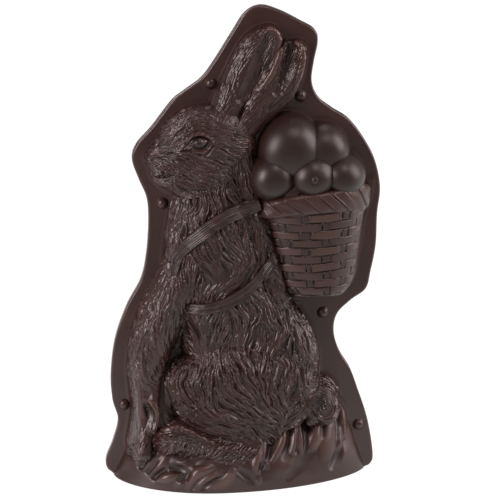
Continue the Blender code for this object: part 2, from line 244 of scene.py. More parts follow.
class Board:
    """A sheet of points at an even pitch, on which heights are worked out and from which they are read."""

    def __init__(self, left, right, low, high, pitch):
        self.left, self.low, self.pitch = left, low, pitch
        self.x, self.z = np.meshgrid(np.arange(left, right, pitch), np.arange(low, high, pitch))

    def limb(self, stations, fullness=2.2):
        """Height of a rounded limb through stations of x, z, half width and crest, and the distance inside
        it. Across the limb the height is crest * (1 - u^f)^(1/f); outside it falls at the wall's slope."""
        rows = through(stations, 10)
        height = np.full(self.x.shape, -99.0)
        inside = np.full(self.x.shape, -99.0)
        for (ax, az, ar, ah), (bx, bz, br, bh) in zip(rows, rows[1:]):
            reach = max(ar, br) + 6
            low = max(int((min(az, bz) - reach - self.low) / self.pitch), 0)
            high = int((max(az, bz) + reach - self.low) / self.pitch) + 2
            left = max(int((min(ax, bx) - reach - self.left) / self.pitch), 0)
            right = int((max(ax, bx) + reach - self.left) / self.pitch) + 2
            if high <= 0 or right <= 0:
                continue
            part = (slice(low, high), slice(left, right))
            x, z = self.x[part], self.z[part]
            ux, uz = bx - ax, bz - az
            t = np.clip(((x - ax) * ux + (z - az) * uz) / (ux * ux + uz * uz), 0, 1)
            away = np.hypot(x - ax - ux * t, z - az - uz * t)
            r = ar + (br - ar) * t
            crest = ah + (bh - ah) * t
            dome = crest * np.maximum(1 - (away / r) ** fullness, 0) ** (1 / fullness)
            height[part] = np.maximum(height[part], np.where(away < r, dome, WALL_SLOPE * (r - away)))
            inside[part] = np.maximum(inside[part], r - away)
        return height, inside

    def cover(self, stations, margin):
        """Height of the limb widened by a margin: it is above 0 where the limb's coat is laid."""
        return self.limb([(x, z, half + margin, crest) for x, z, half, crest in stations])[0]

    def read(self, field, x, z):
        """The field's value at any places, mixed from the four points round each."""
        rows, columns = field.shape
        u = np.clip((x - self.left) / self.pitch, 0, columns - 1.001)
        v = np.clip((z - self.low) / self.pitch, 0, rows - 1.001)
        j, i = u.astype(int), v.astype(int)
        u, v = u - j, v - i
        lower = field[i, j] * (1 - u) + field[i, j + 1] * u
        upper = field[i + 1, j] * (1 - u) + field[i + 1, j + 1] * u
        return lower * (1 - v) + upper * v


# Dark chocolate: painted shade in a hollow, its colour in the open, lighter where it is rubbed and where
# painted highlight lies on a ridge, and warm for a smear behind the cheek and a painted sheen on the basket
PAINTED_HOLLOW_SHADE = (0.016, 0.0064, 0.0044, 1)
BODY = (0.050, 0.0195, 0.0150, 1)
RUBBED_AND_HIGHLIT = (0.068, 0.0320, 0.0262, 1)
WARM_SMEAR_AND_SHEEN = (0.105, 0.042, 0.020, 1)


def chocolate(name, roughness, grain):
    """Dark chocolate cast in a mould: darker and redder in the hollows, as painted shade, and lighter and
    greyer on the ridges, partly as painted highlight and partly as rubbing and the faintest bloom, which vary
    at random, with a fine grain from the mould and soft finger marks. The 'rise' of each point, from 0 in a
    groove to 1 on a ridge, drives this painted shade and highlight and the gloss, and its 'tan' is a warm
    colour on top: a smear behind the head's cheek, and a painted sheen on the basket's right side. The
    grain is the depth of the bump in millimetres."""
    material = bpy.data.materials.new(name)
    material.use_nodes = True
    tree = material.node_tree
    shader = tree.nodes["Principled BSDF"]
    shader.inputs["Specular IOR Level"].default_value = 0.5
    start = Sock(tree, None)
    place = start.node("ShaderNodeTexCoord", {}, {}, "Object")
    rise = start.node("ShaderNodeAttribute", {"attribute_name": "rise"}, {}, "Fac")
    tan = start.node("ShaderNodeAttribute", {"attribute_name": "tan"}, {}, "Fac")
    cloud = start.node("ShaderNodeTexNoise", {}, {"Vector": place, "Scale": 38.0, "Detail": 3.0})
    smear = start.node("ShaderNodeTexNoise", {}, {"Vector": place, "Scale": 140.0, "Detail": 2.0})
    fine = start.node("ShaderNodeTexNoise", {}, {"Vector": place, "Scale": 900.0, "Detail": 2.0})
    # Painted shade darkens the grooves and painted highlight lightens the ridges; the noise adds rubbing and
    # bloom
    low = rise.mix(PAINTED_HOLLOW_SHADE, BODY)
    worn = ((rise - 0.45) * 1.6 + (cloud - 0.5) * 1.1).clamped()
    colour = worn.mix(low, RUBBED_AND_HIGHLIT)
    # The warm smear on the head, and the painted warm sheen on the basket's right side
    colour = (tan * (0.6 + smear * 0.5)).clamped().mix(colour, WARM_SMEAR_AND_SHEEN)
    tree.links.new(colour.socket, shader.inputs["Base Color"])
    rough = (roughness + (smear - 0.5) * 0.14 + (cloud - 0.5) * 0.12 - rise * 0.1).clamped()
    tree.links.new(rough.socket, shader.inputs["Roughness"])
    height = fine * 0.6 + smear * 0.8
    bump = start.node("ShaderNodeBump", {}, {"Strength": 1.0, "Distance": grain * MM, "Height": height})
    tree.links.new(bump.socket, shader.inputs["Normal"])
    return material


def cast(name, x, y, z, material, rise=0.6, tan=0.0):
    """The piece whose skin is a grid of points: its rows follow each other along the piece, and each runs
    right round it. Both ends are closed. Faces are turned outwards by the sign of the volume."""
    rows, columns = x.shape
    points = placed(x, y, z).reshape(-1, 3)
    index = np.arange(rows * columns).reshape(rows, columns)
    ahead = np.roll(index, -1, 1)
    quads = np.stack([index[:-1], ahead[:-1], ahead[1:], index[1:]], -1).reshape(-1, 4)
    a, b, c, d = (points[quads[:, i]] for i in range(4))
    volume = np.einsum("ij,ij->", a, np.cross(b, c)) + np.einsum("ij,ij->", a, np.cross(c, d))
    ends = [index[0][::-1], index[-1]]
    faces = [face[::-1].tolist() if volume < 0 else face.tolist() for face in ends]
    if volume < 0:
        quads = quads[:, ::-1]
    mesh = bpy.data.meshes.new(name)
    mesh.from_pydata(points.tolist(), [], quads.tolist() + faces)
    for label, value in (("rise", rise), ("tan", tan)):
        attribute = mesh.attributes.new(label, "FLOAT", "POINT")
        attribute.data.foreach_set("value", np.broadcast_to(value, x.shape).astype(np.float32).ravel())
    mesh.shade_smooth()
    mesh.materials.append(material)
    piece = bpy.data.objects.new(name, mesh)
    bpy.context.scene.collection.objects.link(piece)
    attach(piece, "root")
    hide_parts("chocolate_bunny")


def pushed(x, y, z, out):
    """The points of a skin moved outwards along its normals, the cross product of its two gradients."""
    along = np.stack([np.gradient(v, axis=0) for v in (x, y, z)], -1)
    across = np.stack([np.gradient(v, axis=1) for v in (x, y, z)], -1)
    normal = np.cross(along, across)
    normal /= np.linalg.norm(normal, axis=-1, keepdims=True) + 1e-12
    forward = np.sign(-normal[..., 1].sum())
    normal = normal * forward * np.asarray(out)[..., None]
    return x + normal[..., 0], y + normal[..., 1], z + normal[..., 2]


# How far behind the flange's face a skin's edge and its closed back lie
SKIN_EDGE = 1.5
SKIN_BACK = 3.0


def backed(x, y, z):
    """The skin's front with two more columns, which close it behind the flange's face."""
    def wrap(front, last, first):
        return np.column_stack([front, last, first])
    deep = np.full(len(x), SKIN_BACK)
    return wrap(x, x[:, -1], x[:, 0]), wrap(y, deep, deep), wrap(z, z[:, -1], z[:, 0])


def edged(field, value=0.5):
    """A field over a skin's front, with one value for the two columns that close it."""
    return np.column_stack([field, np.full((len(field), 2), value)])


# Leaves and clods on the ground: x, z, half width, height above the ground
LEAVES = [
    [(-33.5, 1.5, 0.96, 0.24), (-30.5, 8, 3.2, 1.8), (-26, 12.5, 3.84, 2.28), (-19, 15.5, 2.08, 0.96)],
    [(-29.5, 2, 0.96, 0.24), (-25.5, 7.5, 2.72, 1.32), (-20, 11, 2.72, 1.44), (-13, 12.5, 1.44, 0.48)],
    [(-22, 3.5, 0.96, 0.36), (-15, 5, 2.56, 1.44), (-10, 8.5, 3.04, 1.92), (-6.5, 14, 1.44, 0.84)],
    [(-31, 14, 1.28, 0.48), (-24, 17.5, 1.92, 1.08), (-14, 19, 2.08, 1.08), (-2, 17, 1.28, 0.48)],
    [(-38, 16.5, 1.28, 0.48), (-28, 20.5, 1.76, 0.84), (-16, 22, 1.92, 0.84), (-3, 20.5, 1.28, 0.36)],
    [(-67.5, 15.5, 1.12, 0.96), (-64.5, 19.5, 2.72, 2.04), (-60.5, 24, 4.16, 2.16), (-55, 27, 2.56, 1.08)],
    [(-61, 12.5, 1.12, 0.84), (-58, 16.5, 2.56, 2.04), (-55, 21, 3.52, 2.04), (-51, 25, 2.24, 0.96)],
    [(-57.5, 10.5, 1.12, 0.72), (-54, 14.5, 2.4, 1.92), (-50.5, 19, 2.88, 1.8), (-48, 23, 1.92, 0.96)],
    [(-54, 9, 1.12, 0.72), (-50, 13, 2.4, 1.8), (-47, 17, 2.4, 1.44), (-45, 20, 1.6, 0.72)],
    [(-50, 6, 1.28, 1.08), (-45.5, 8, 2.88, 2.16), (-39.5, 10, 2.08, 0.96)],
    [(-40, 3.6, 0.96, 0.48), (-37, 6.2, 1.92, 1.2), (-34.5, 8, 0.96, 0.48)],
    [(-73, 16, 1.28, 0.72), (-69.5, 22, 2.08, 1.2), (-67, 29, 1.6, 0.96)],
    [(24.5, 33, 2.24, 0.96), (22.3, 27.5, 3.68, 2.28), (19, 22, 3.04, 1.8), (16, 16.5, 1.12, 0.48)],
    [(14.5, 27, 1.44, 0.96), (12.5, 22, 1.92, 1.44), (12, 17, 2.08, 1.44), (13.5, 14, 1.12, 0.48)],
    [(11.5, 26, 1.28, 0.6), (8, 20, 2.4, 1.8), (6.6, 15.5, 2.24, 1.56), (8.2, 9, 1.44, 0.72),
     (8, 6, 1.6, 1.08)],
    [(32.5, 37, 1.76, 0.96), (30.5, 32, 2.4, 1.92), (29.6, 26, 2.88, 2.28), (28.6, 20.5, 1.6, 0.84)],
    [(35, 36, 1.44, 0.72), (33, 31, 2.08, 1.8), (33.3, 26, 2.56, 2.16), (34, 20.5, 1.44, 0.72)],
    [(43, 38, 2.56, 0.96), (44, 33.5, 3.84, 2.16), (43, 27.5, 4.8, 2.28), (41.5, 22, 2.72, 1.08)],
    [(50, 40, 1.6, 0.96), (47.5, 36, 1.92, 1.56), (46.5, 30, 1.6, 1.2), (47, 24, 1.12, 0.48)],
    [(54.5, 41, 1.6, 0.96), (52.5, 35, 4.16, 1.8), (51, 27, 5.76, 1.92), (49, 17, 4.8, 0.72)],
    [(55, 46, 1.28, 0.96), (58, 41, 1.92, 1.68), (60, 36, 2.08, 1.56), (61, 29, 1.6, 0.96),
     (61, 22, 1.12, 0.48)],
    [(58.5, 27, 1.28, 0.6), (58.3, 22, 1.92, 1.32), (57.5, 17, 1.44, 0.84)],
]
# Furrows between them: x, z, half width, depth
FURROWS = [
    [(20, 32, 2.56, 1.54), (17, 27, 3.68, 2.42), (14.5, 21, 2.4, 1.76), (10, 14, 1.76, 1.21),
     (8, 10, 1.28, 0.66)],
    [(27, 33, 2.24, 1.32), (26.5, 25, 2.56, 1.21), (24, 18, 2.24, 0.55)],
    [(31.6, 35, 0.8, 0.88), (31.6, 27, 1.12, 1.32), (31.4, 20, 0.96, 0.66)],
    [(38.5, 39, 3.84, 1.98), (38, 33, 4.16, 2.2), (37, 26, 2.56, 1.1), (36, 20, 1.92, 0.44)],
    [(48, 38, 1.44, 1.32), (47.4, 32, 1.6, 1.54), (46.8, 26, 1.28, 0.88)],
    [(55.5, 42, 1.28, 1.1), (57, 36, 2.4, 1.98), (57, 30, 2.08, 1.32), (56.5, 24, 1.28, 0.55)],
    [(60, 30, 0.96, 0.77), (60, 24, 1.12, 0.99), (59.8, 18, 0.8, 0.44)],
    [(58, 17, 1.92, 0.99), (56.5, 13, 3.2, 1.65), (53, 8.5, 2.24, 0.88)],
    [(40, 18, 2.56, 0.44), (33, 13, 3.84, 0.66), (26, 7, 2.88, 0.44)],
    [(-41.5, 14, 2.08, 1.54), (-37.5, 13.6, 3.04, 1.98), (-33, 12.5, 1.76, 0.66)],
    [(-38, 8, 1.92, 0.88), (-35, 9, 2.24, 1.43), (-32, 11, 1.6, 0.99)],
    [(-31, 2.5, 1.28, 0.77), (-27.5, 7.5, 1.6, 1.21), (-22, 11.5, 1.44, 0.99), (-15, 13.8, 1.28, 0.66)],
    [(-25, 3, 1.28, 0.55), (-19, 7.5, 1.76, 0.99), (-12, 10.5, 1.28, 0.66)],
    [(-3, 13, 1.92, 0.99), (1, 10, 2.88, 1.21), (5, 6, 1.6, 0.55)],
    [(-66, 14.5, 1.28, 1.54), (-63.8, 18, 1.76, 1.87), (-61, 21.5, 0.96, 0.88)],
    [(-60, 11, 1.28, 1.43), (-57.5, 14.3, 1.6, 1.76), (-54.5, 18.5, 0.96, 0.88)],
    [(-56, 9.5, 1.12, 1.32), (-53, 13, 1.28, 1.32), (-50, 17, 0.8, 0.66)],
    [(-52.5, 7, 1.44, 1.54), (-49.5, 10.5, 1.6, 1.54), (-46, 13, 1.12, 0.88)],
    [(-29, 16.4, 0.96, 0.66), (-20, 18.2, 1.12, 0.88), (-8, 17.4, 0.96, 0.66)],
    [(-32, 19, 0.96, 0.55), (-20, 20.8, 1.12, 0.77), (-6, 20, 0.96, 0.55)],
    [(-70, 17, 1.28, 0.66), (-66.5, 24, 1.92, 1.1), (-64.5, 31, 1.6, 0.77)],
]
soil = Board(-80, 80, -1, 48, 0.3)


def softened(field, times):
    """The field after rounds of mixing each point with its neighbours: a quarter, a half and a quarter."""
    for axis in (0, 1) * times:
        field = field / 2 + (np.roll(field, 1, axis) + np.roll(field, -1, axis)) / 4
    return field


def relief(board, ridges, furrows, fullness=1.6):
    """Sum of low ridges and furrows on a board, each a narrow limb with gently rounded sides."""
    field = np.zeros(board.x.shape)
    for row in ridges:
        field = np.maximum(field, board.limb(row, fullness)[0])
    for row in furrows:
        field = field - np.maximum(board.limb(row, fullness)[0], 0)
    return field


lumps = softened(relief(soil, LEAVES, FURROWS, fullness=1.8), 8)
lumps = lumps + 0.5 * ripple(soil.x, soil.z * 0.8, 22, 3) * np.clip((soil.z - 6) / 8, 0, 1)
up = GROUND_TOP * np.linspace(0, 1, 144)[:, None] ** 1.1
turn = np.linspace(-math.pi / 2, math.pi / 2, 490)[None, :]
left, right, share = ground_rows(up)
edge = FOOT_EDGE * (1 - np.sqrt(1 - np.clip(1 - up / FOOT_EDGE, 0, 1) ** 2))
side = np.sin(turn)
half_width = np.where(side > 0, right - GROUND_CREST_X - edge, GROUND_CREST_X - left - edge)
bluntness = np.where(side > 0, RIGHT_BLUNTNESS, LEFT_BLUNTNESS)
ground_x = GROUND_CREST_X + side * half_width
ground_y = -(FOOT_DEPTH * share - edge) * np.cos(turn) ** (2 * bluntness)
ground_z = up + 0 * turn
lump = soil.read(lumps, ground_x, ground_z)
calm = np.clip(up / 3, 0, 1) * np.clip(np.cos(turn) * 6, 0, 1)
x, y, z = pushed(ground_x, ground_y, ground_z, lump * 1.15 * calm)
y = np.maximum(y, 0.02 - FOOT_DEPTH)
z[0] = 0
z = np.maximum(z, 0)
# The leaves are painted lighter and the furrows darker: painted highlight and painted shade on the relief
cast("ground", *backed(x, y, z), chocolate("ground_chocolate", roughness=0.40, grain=0.03),
     rise=edged(np.clip(0.38 + lump * 0.35, 0, 1)))

# The body is built up limb by limb, as the mould's maker built the model: each limb stands in what is
# there already, with the crease between them filled. The trunk comes first, from the throat to the seat. It
# is cast in one piece with the rest, and long combed fur covers it.
WALL_FILLET = 4.0
PELT_DEPTH = 4.0
# Stations of every limb: x, z, half width and crest, which is 0 or 1 where the limb only marks a place
TORSO = [
    (-18, 184, 17, 21.5), (-15.5, 174, 20, 22), (-16, 160, 25, 24), (-14.5, 146, 29.3, 26),
    (-13, 132, 32.5, 27), (-12, 118, 33.5, 27), (-5, 103, 33.2, 26.5), (4.5, 88, 32.8, 27),
    (14, 73, 32.5, 28), (18, 62, 30, 28)]
WAIST = 116.0
# Middle of the whole figure, where the limbs have no outer wall
CORES = [
    [(-33, 196, 12, 0), (-15, 199, 18, 0), (-14, 174, 18, 0), (-14, 146, 28, 0), (-10, 118, 31.5, 0),
     (2, 94, 32.5, 0), (11, 70, 35.5, 0), (8, 52, 36, 0), (-10, 40, 34, 0)],
    [(-10, 215, 12, 0), (8, 213, 12, 0), (9, 195, 16, 0), (12, 172, 16, 0), (20, 140, 18, 0),
     (28, 120, 13, 0)],
    [(-52, 40, 10, 0), (-40, 30, 22, 0), (0, 30, 30, 0), (44, 32, 20, 0)],
    [(-41, 92, 9, 0), (-46, 76, 11.5, 0), (-48.5, 60, 11.5, 0), (-48, 44, 12, 0)],
]
# A worn patch between the straps (its middle and size), and a dark slot low on the back
WORN_PATCH = (-14, 128, 8, 6)
SLOT = [(29.2, 89, 0.4, 0.6), (29.4, 84, 1.1, 1.6), (29, 78, 0.5, 0.6)]
# How the fur lies: x, z and heading in degrees, 0 to the right and 90 up
TORSO_LAY = [
    (-38, 168, -100), (-33, 172, -108), (-28, 174, -95), (-22, 174, -86), (-15, 174, -76), (-9, 173, -74),
    (-4, 172, -70), (1, 172, -75), (-43, 155, -92), (-38, 158, -100), (-33, 160, -92), (-28, 164, -100),
    (-20, 166, -98), (-13, 166, -92), (-44, 145, -88), (-44, 134, -90), (-38, 150, -95), (-31, 155, -88),
    (-28, 140, -62), (-24, 137, -48), (-20, 134, -32), (-25, 146, -78), (-20, 144, -64), (-15, 146, -66),
    (-15, 141, -56), (-10, 139, -46), (-6, 137, -34), (-10, 149, -64), (-5, 144, -56), (-2, 139, -62),
    (-1, 150, -74), (4, 152, -84), (9, 154, -90), (12, 150, -86), (2, 141, -90), (4, 135, -106),
    (3, 129, -126), (-1, 125, -142), (-6, 122, -150), (-12, 121, -140), (9, 141, -92), (14, 141, -82),
    (10, 133, -104), (-14, 129, -85), (-20, 126, -80), (-27, 128, -85), (-25, 119, -95), (-33, 136, -74),
    (-30, 131, -70), (-33, 126, -76), (15, 132, -95), (-33, 97, -58), (-29, 94, -56), (-25, 92, -62),
    (-34, 91, -50), (-22, 99, -96), (-18, 94, -116), (-12, 95, -114), (-14, 90, -116), (-9, 101, -92),
    (-7, 104, -68), (-1, 104, -62), (6, 107, -62), (-17, 103, -100), (-12, 87, -100), (-4, 92, -100),
    (3, 96, -112), (7, 98, -118), (3, 86, -100), (9, 88, -88), (13, 84, -108), (10, 94, -100),
    (10, 112, -66), (13, 106, -62), (18, 109, -62), (20, 104, -62), (24, 110, -78), (27, 105, -66),
    (31, 103, -68), (18, 100, -60), (20.5, 96, -68), (22, 92, -96), (20, 88, -122), (16, 84, -118),
    (27, 92, -112), (24, 87, -136), (20, 82, -144), (33, 96, -70), (36, 91, -70), (39, 87, -76),
    (43, 82, -78), (45, 77, -86), (33, 87, -82), (33, 80, -90), (38, 76, -80), (29, 84, -90), (22, 76, -98),
    (16, 78, -108), (27, 74, -82), (31, 72, -92), (36, 70, -76), (41, 68, -104), (45, 67, -72),
    (48, 64, -62), (42, 63, -116), (36, 64, -100), (30, 66, -95), (24, 68, -95)]


def blend(a, b, fillet):
    """The higher of two heights, with the crease between them filled: a parabola where they nearly agree."""
    return np.maximum(a, b) + np.maximum(fillet - np.abs(a - b), 0) ** 2 / (4 * fillet)


class Clay:
    """The figure so far: its height before the outer wall is cut, and the distance inside its outline."""

    def __init__(self):
        self.board = Board(-84, 86, -3, 284, 0.4)
        self.height = np.full(self.board.x.shape, -99.0)
        self.inside = np.full(self.board.x.shape, -99.0)

    def add(self, height, inside, fillet):
        """Adds a form, and gives by how much it stands above what was there, less what fills the crease."""
        above = height - self.height + fillet
        self.height = blend(self.height, height, fillet)
        self.inside = np.maximum(self.inside, inside)
        return above

    def front(self):
        """The front of the figure: its height kept below the drafted wall that rises from its outline."""
        return walled(self.height, self.inside)


def walled(height, inside):
    """The lower of the height and the drafted wall, with a rounded turn between the two."""
    return -blend(-height, -WALL_SLOPE * inside - 1, WALL_FILLET)


def spread(stations, pitch, reach=1.2, ends=(1.0, 1.0)):
    """Places over a limb: rows square to its middle line, a little closer together towards the limb's two
    sides, and half-round ends."""
    line = through(stations, 12)
    run = np.concatenate([[0], np.cumsum(np.hypot(*np.diff(line[:, :2], axis=0).T))])
    even = np.linspace(0, run[-1], max(int(run[-1] / pitch), 2))
    x, z, half = (np.interp(even, run, line[:, i]) for i in (0, 1, 2))
    smooth = max(int(12 / pitch), 1)
    weight = np.hanning(2 * smooth + 1)
    weight /= weight.sum()
    tangent = np.stack([np.gradient(x), np.gradient(z)], 1)
    tangent = np.vstack([np.repeat(tangent[:1], smooth, 0), tangent, np.repeat(tangent[-1:], smooth, 0)])
    tangent = np.stack([np.convolve(tangent[:, i], weight, "valid") for i in (0, 1)], 1)
    tangent /= np.hypot(*tangent.T)[:, None]
    half = half * reach
    caps = []
    for at, sign, blunt in ((0, -1, ends[0]), (-1, 1, ends[1])):
        turns = np.linspace(0, math.pi / 2 - 0.02, max(int(half[at] * 1.3 * blunt / pitch), 3))[1:]
        out = sign * half[at] * blunt * np.sin(turns)
        caps.append([x[at] + tangent[at, 0] * out, z[at] + tangent[at, 1] * out, half[at] * np.cos(turns),
                     np.repeat(tangent[at:][:1], len(turns), 0)])
    first, last = caps
    x = np.concatenate([first[0][::-1], x, last[0]])
    z = np.concatenate([first[1][::-1], z, last[1]])
    half = np.concatenate([first[2][::-1], half, last[2]])
    tangent = np.vstack([first[3], tangent, last[3]])
    even = np.linspace(-1, 1, int((2 * half.max() + 8) / pitch))
    across = (0.75 * even + 0.25 * np.sin(even * math.pi / 2))[None, :] * half[:, None]
    return x[:, None] - tangent[:, 1:2] * across, z[:, None] + tangent[:, :1] * across


def lay(x, z, guides):
    """Heading of the fur: the mean of the guides' headings, weighted by distance to the power of -4."""
    g = np.array(guides, float)
    weight = ((x[:, None] - g[:, 0]) ** 2 + (z[:, None] - g[:, 1]) ** 2 + 3) ** -2
    heading = np.radians(g[:, 2])
    return np.arctan2((weight * np.sin(heading)).sum(1), (weight * np.cos(heading)).sum(1))


# Locks are drawn in steps of about this length
LOCK_STEP = 0.33


def fur(board, covers, guides, crown, seed, length, half, depth, wave, layers=2.8):
    """Relief of combed locks. Each starts at a jittered place and follows the lay of the fur with a wave. Its
    section is a parabola, (1 - s^2) over its width, on which finer hairs show; it rises from root to tip and
    ends in a point. Where locks cross, the one that starts nearer the crown lies on top, roughly, and shows
    alone, so that a groove runs down each of its sides."""
    draw = np.random.default_rng(seed)
    pitch = board.pitch
    gap = math.sqrt(1.4 * half * length / layers)
    x, z = np.meshgrid(np.arange(board.x.min(), board.x.max(), gap),
                       np.arange(board.z.min(), board.z.max(), gap))
    x = (x + draw.uniform(-0.5, 0.5, x.shape) * gap * 1.5).ravel()
    z = (z + draw.uniform(-0.5, 0.5, z.shape) * gap * 1.5).ravel()
    keep = board.read(covers, x, z) > 0
    x, z = x[keep], z[keep]
    count = len(x)
    order = np.hypot(x - crown[0], z - crown[1]) + draw.normal(0, 0.7 * length, count)
    rank = np.empty(count)
    rank[np.argsort(-order)] = np.arange(count) + 1
    long = length * draw.uniform(0.55, 1.3, count)
    wide = half * draw.uniform(0.6, 1.25, count)
    tall = draw.uniform(0.7, 1.0, count)
    bend, curl = draw.normal(0, 0.07, count), draw.normal(0, 0.15, count)
    field = np.zeros(board.x.size)
    rows, columns = board.x.shape
    steps = int(length * 1.3 / LOCK_STEP)
    span = int(half * 1.25 / pitch) + 1
    di, dj = (v.ravel()[None, :] for v in np.meshgrid(np.arange(-span, span + 1), np.arange(-span, span + 1)))
    for k in range(steps + 1):
        t = k / steps
        heading = lay(x, z, guides) + wave * ripple(x, z, 12, seed + 1) + bend + curl * (t - 0.5)
        cos, sin = np.cos(heading)[:, None], np.sin(heading)[:, None]
        r = wide * min(1.0, 0.4 + 2.5 * t) * (1 - t ** 2.5) ** 0.8 + 0.15
        i = np.rint((z - board.low) / pitch).astype(int)[:, None] + di
        j = np.rint((x - board.left) / pitch).astype(int)[:, None] + dj
        dx = j * pitch + board.left - x[:, None]
        dz = i * pitch + board.low - z[:, None]
        s = (dz * cos - dx * sin) / r[:, None]
        on_board = (i >= 0) & (i < rows) & (j >= 0) & (j < columns)
        hit = (np.abs(s) < 1) & (np.abs(dx * cos + dz * sin) < 0.45) & on_board
        dome = 0.1 + 0.9 * (1 - s * s) + 0.05 * np.cos(4 * math.pi * s)
        value = np.clip(dome * tall[:, None] * (0.4 + 0.55 * t ** 0.6), 0, 0.99)
        np.maximum.at(field, (i * columns + j)[hit], (rank[:, None] + value)[hit])
        x = x + np.cos(heading) * long / steps
        z = z + np.sin(heading) * long / steps
    return softened((field % 1).reshape(board.x.shape) * depth, 1)


def pelt(board, covers, guides, crown, seed, size=1.0):
    """Relief of the long coat: fine hairs laid over broad locks that run the same way."""
    locks = fur(board, covers, guides, crown, seed, 24 * size, 2.5 * size, 1.6 * size, 0.28, 2.2)
    hairs = fur(board, covers, guides, crown, seed, 18 * size, 0.95 * size, 2.4 * size, 0.28, 2.8)
    return locks + hairs


def levelled(coat, level, share):
    """The coat with a share of it worn down to a level."""
    return coat * (1 - share) + level * share


def hill(x, z, middle_x, middle_z, width, height):
    """A smooth spot: 1 in its middle, and falling as a Gaussian of the distance in widths and heights."""
    return np.exp(-((x - middle_x) / width) ** 2 - ((z - middle_z) / height) ** 2)


def evened(x, z, height, axis, pitch):
    """The places of a grid taken anew along one axis, so that the steps over the skin, up and down included,
    are all alike in each row, and no longer than the pitch in the longest."""
    x, z, height = (np.moveaxis(f, axis, -1) for f in (x, z, height))
    step = np.sqrt(np.diff(x) ** 2 + np.diff(z) ** 2 + 0.7 * np.diff(height) ** 2) + 1e-6
    count = int(step.sum(-1).max() / pitch) + 2
    run = np.concatenate([np.zeros((len(x), 1)), np.cumsum(step, -1)], -1)
    row = 2.0 * np.arange(len(x))[:, None]
    run = (run / run[:, -1:] + row).ravel()
    even = (np.linspace(0, 1, count)[None, :] + row).ravel()
    return [np.moveaxis(np.interp(even, run, f.ravel()).reshape(len(x), count), -1, axis) for f in (x, z)]


def unrolled(x, z, height):
    """Where the skin's points would lie if its steep walls were laid flat: beyond the middle of the grid each
    step is lengthened by as much as its slope exceeds about one in one."""
    u, v = x.copy(), z.copy()
    for axis in (0, 1):
        dx, dz, dh = (np.diff(f, axis=axis) for f in (x, z, height))
        flat = np.hypot(dx, dz) + 1e-9
        extra = np.maximum(np.hypot(flat, dh) - 1.45 * flat, 0) / flat
        middle = x.shape[axis] // 2
        for field, step in ((u, dx * extra), (v, dz * extra)):
            start = np.zeros_like(np.take(step, [0], axis))
            run = np.concatenate([start, np.cumsum(step, axis)], axis)
            field += run - np.take(run, [middle], axis)
    return u, v


def skin(name, stations, above, coat_board, coat, material, pitch, depth, tan=None, painted_shade=None, **shape):
    """A limb's skin: the figure's front over the limb, sunk under its neighbours where they stand above it,
    and pushed out or in by the coat's height less about half its depth. The coat's height also paints shade
    in its grooves and highlight on its ridges. The two functions give how warm a place is and how much
    painted shade darkens it."""
    x, z = spread(stations, 0.5, **shape)
    front = clay.front() + np.clip(0.7 * above, -9, 0)
    for axis in (1, 0):
        x, z = evened(x, z, np.maximum(clay.board.read(front, x, z), -SKIN_EDGE), axis, pitch)
    height = clay.board.read(front, x, z)
    y = -np.maximum(height, -SKIN_EDGE)
    hair = coat_board.read(coat, *unrolled(x, z, np.maximum(height, 0)))
    x, y, z = pushed(x, y, z, hair - 0.55 * depth)
    y = np.minimum(y, SKIN_EDGE)
    # Painted shade in the coat's grooves and painted highlight on its ridges, then the eye's painted shade
    rise = np.clip(hair / depth, 0, 1)
    if painted_shade is not None:
        rise = rise * (1 - painted_shade(x, z))
    warm = 0.0 if tan is None else edged(tan(x, z), 0.0)
    cast(name, *backed(x, y, z), material, rise=edged(rise), tan=warm)


# The ground is in the clay too, so that the limbs meet it
clay = Clay()
left, right, share = ground_rows(clay.board.z)
side = clay.board.x > GROUND_CREST_X
u = np.clip((clay.board.x - GROUND_CREST_X) / (np.where(side, right, left) - GROUND_CREST_X), 0, 1)
foot = FOOT_DEPTH * (1 - u * u) ** np.where(side, RIGHT_BLUNTNESS, LEFT_BLUNTNESS) * share
in_foot = np.min([clay.board.x - left, right - clay.board.x, (GROUND[-1][0] - clay.board.z) * 2], axis=0)
clay.add(np.where(in_foot < 0, WALL_SLOPE * in_foot, foot), in_foot, 3)
for row in CORES:
    clay.inside = np.maximum(clay.inside, clay.board.limb(row)[1])
trunk, in_trunk = clay.board.limb(TORSO)
above = clay.add(trunk, in_trunk, 3)
fur_chocolate = chocolate("fur_chocolate", roughness=0.34, grain=0.02)
coat_board = Board(-74, 78, 30, 205, 0.24)
coat = pelt(coat_board, coat_board.cover(TORSO, 20), TORSO_LAY, crown=(-15, 240), seed=11)
coat = coat - np.maximum(coat_board.limb(SLOT, 2)[0], 0)
coat = levelled(coat, 0.9, 0.8 * hill(coat_board.x, coat_board.z, *WORN_PATCH))
upper = clay.board.z - WAIST
skin("breast", TORSO[:7], np.minimum(above, upper), coat_board, coat, fur_chocolate,
     pitch=0.455, depth=PELT_DEPTH, ends=(1.0, 0.02))
skin("back", TORSO[5:], np.minimum(above, -upper), coat_board, coat, fur_chocolate,
     pitch=0.455, depth=PELT_DEPTH, ends=(0.3, 0.4))

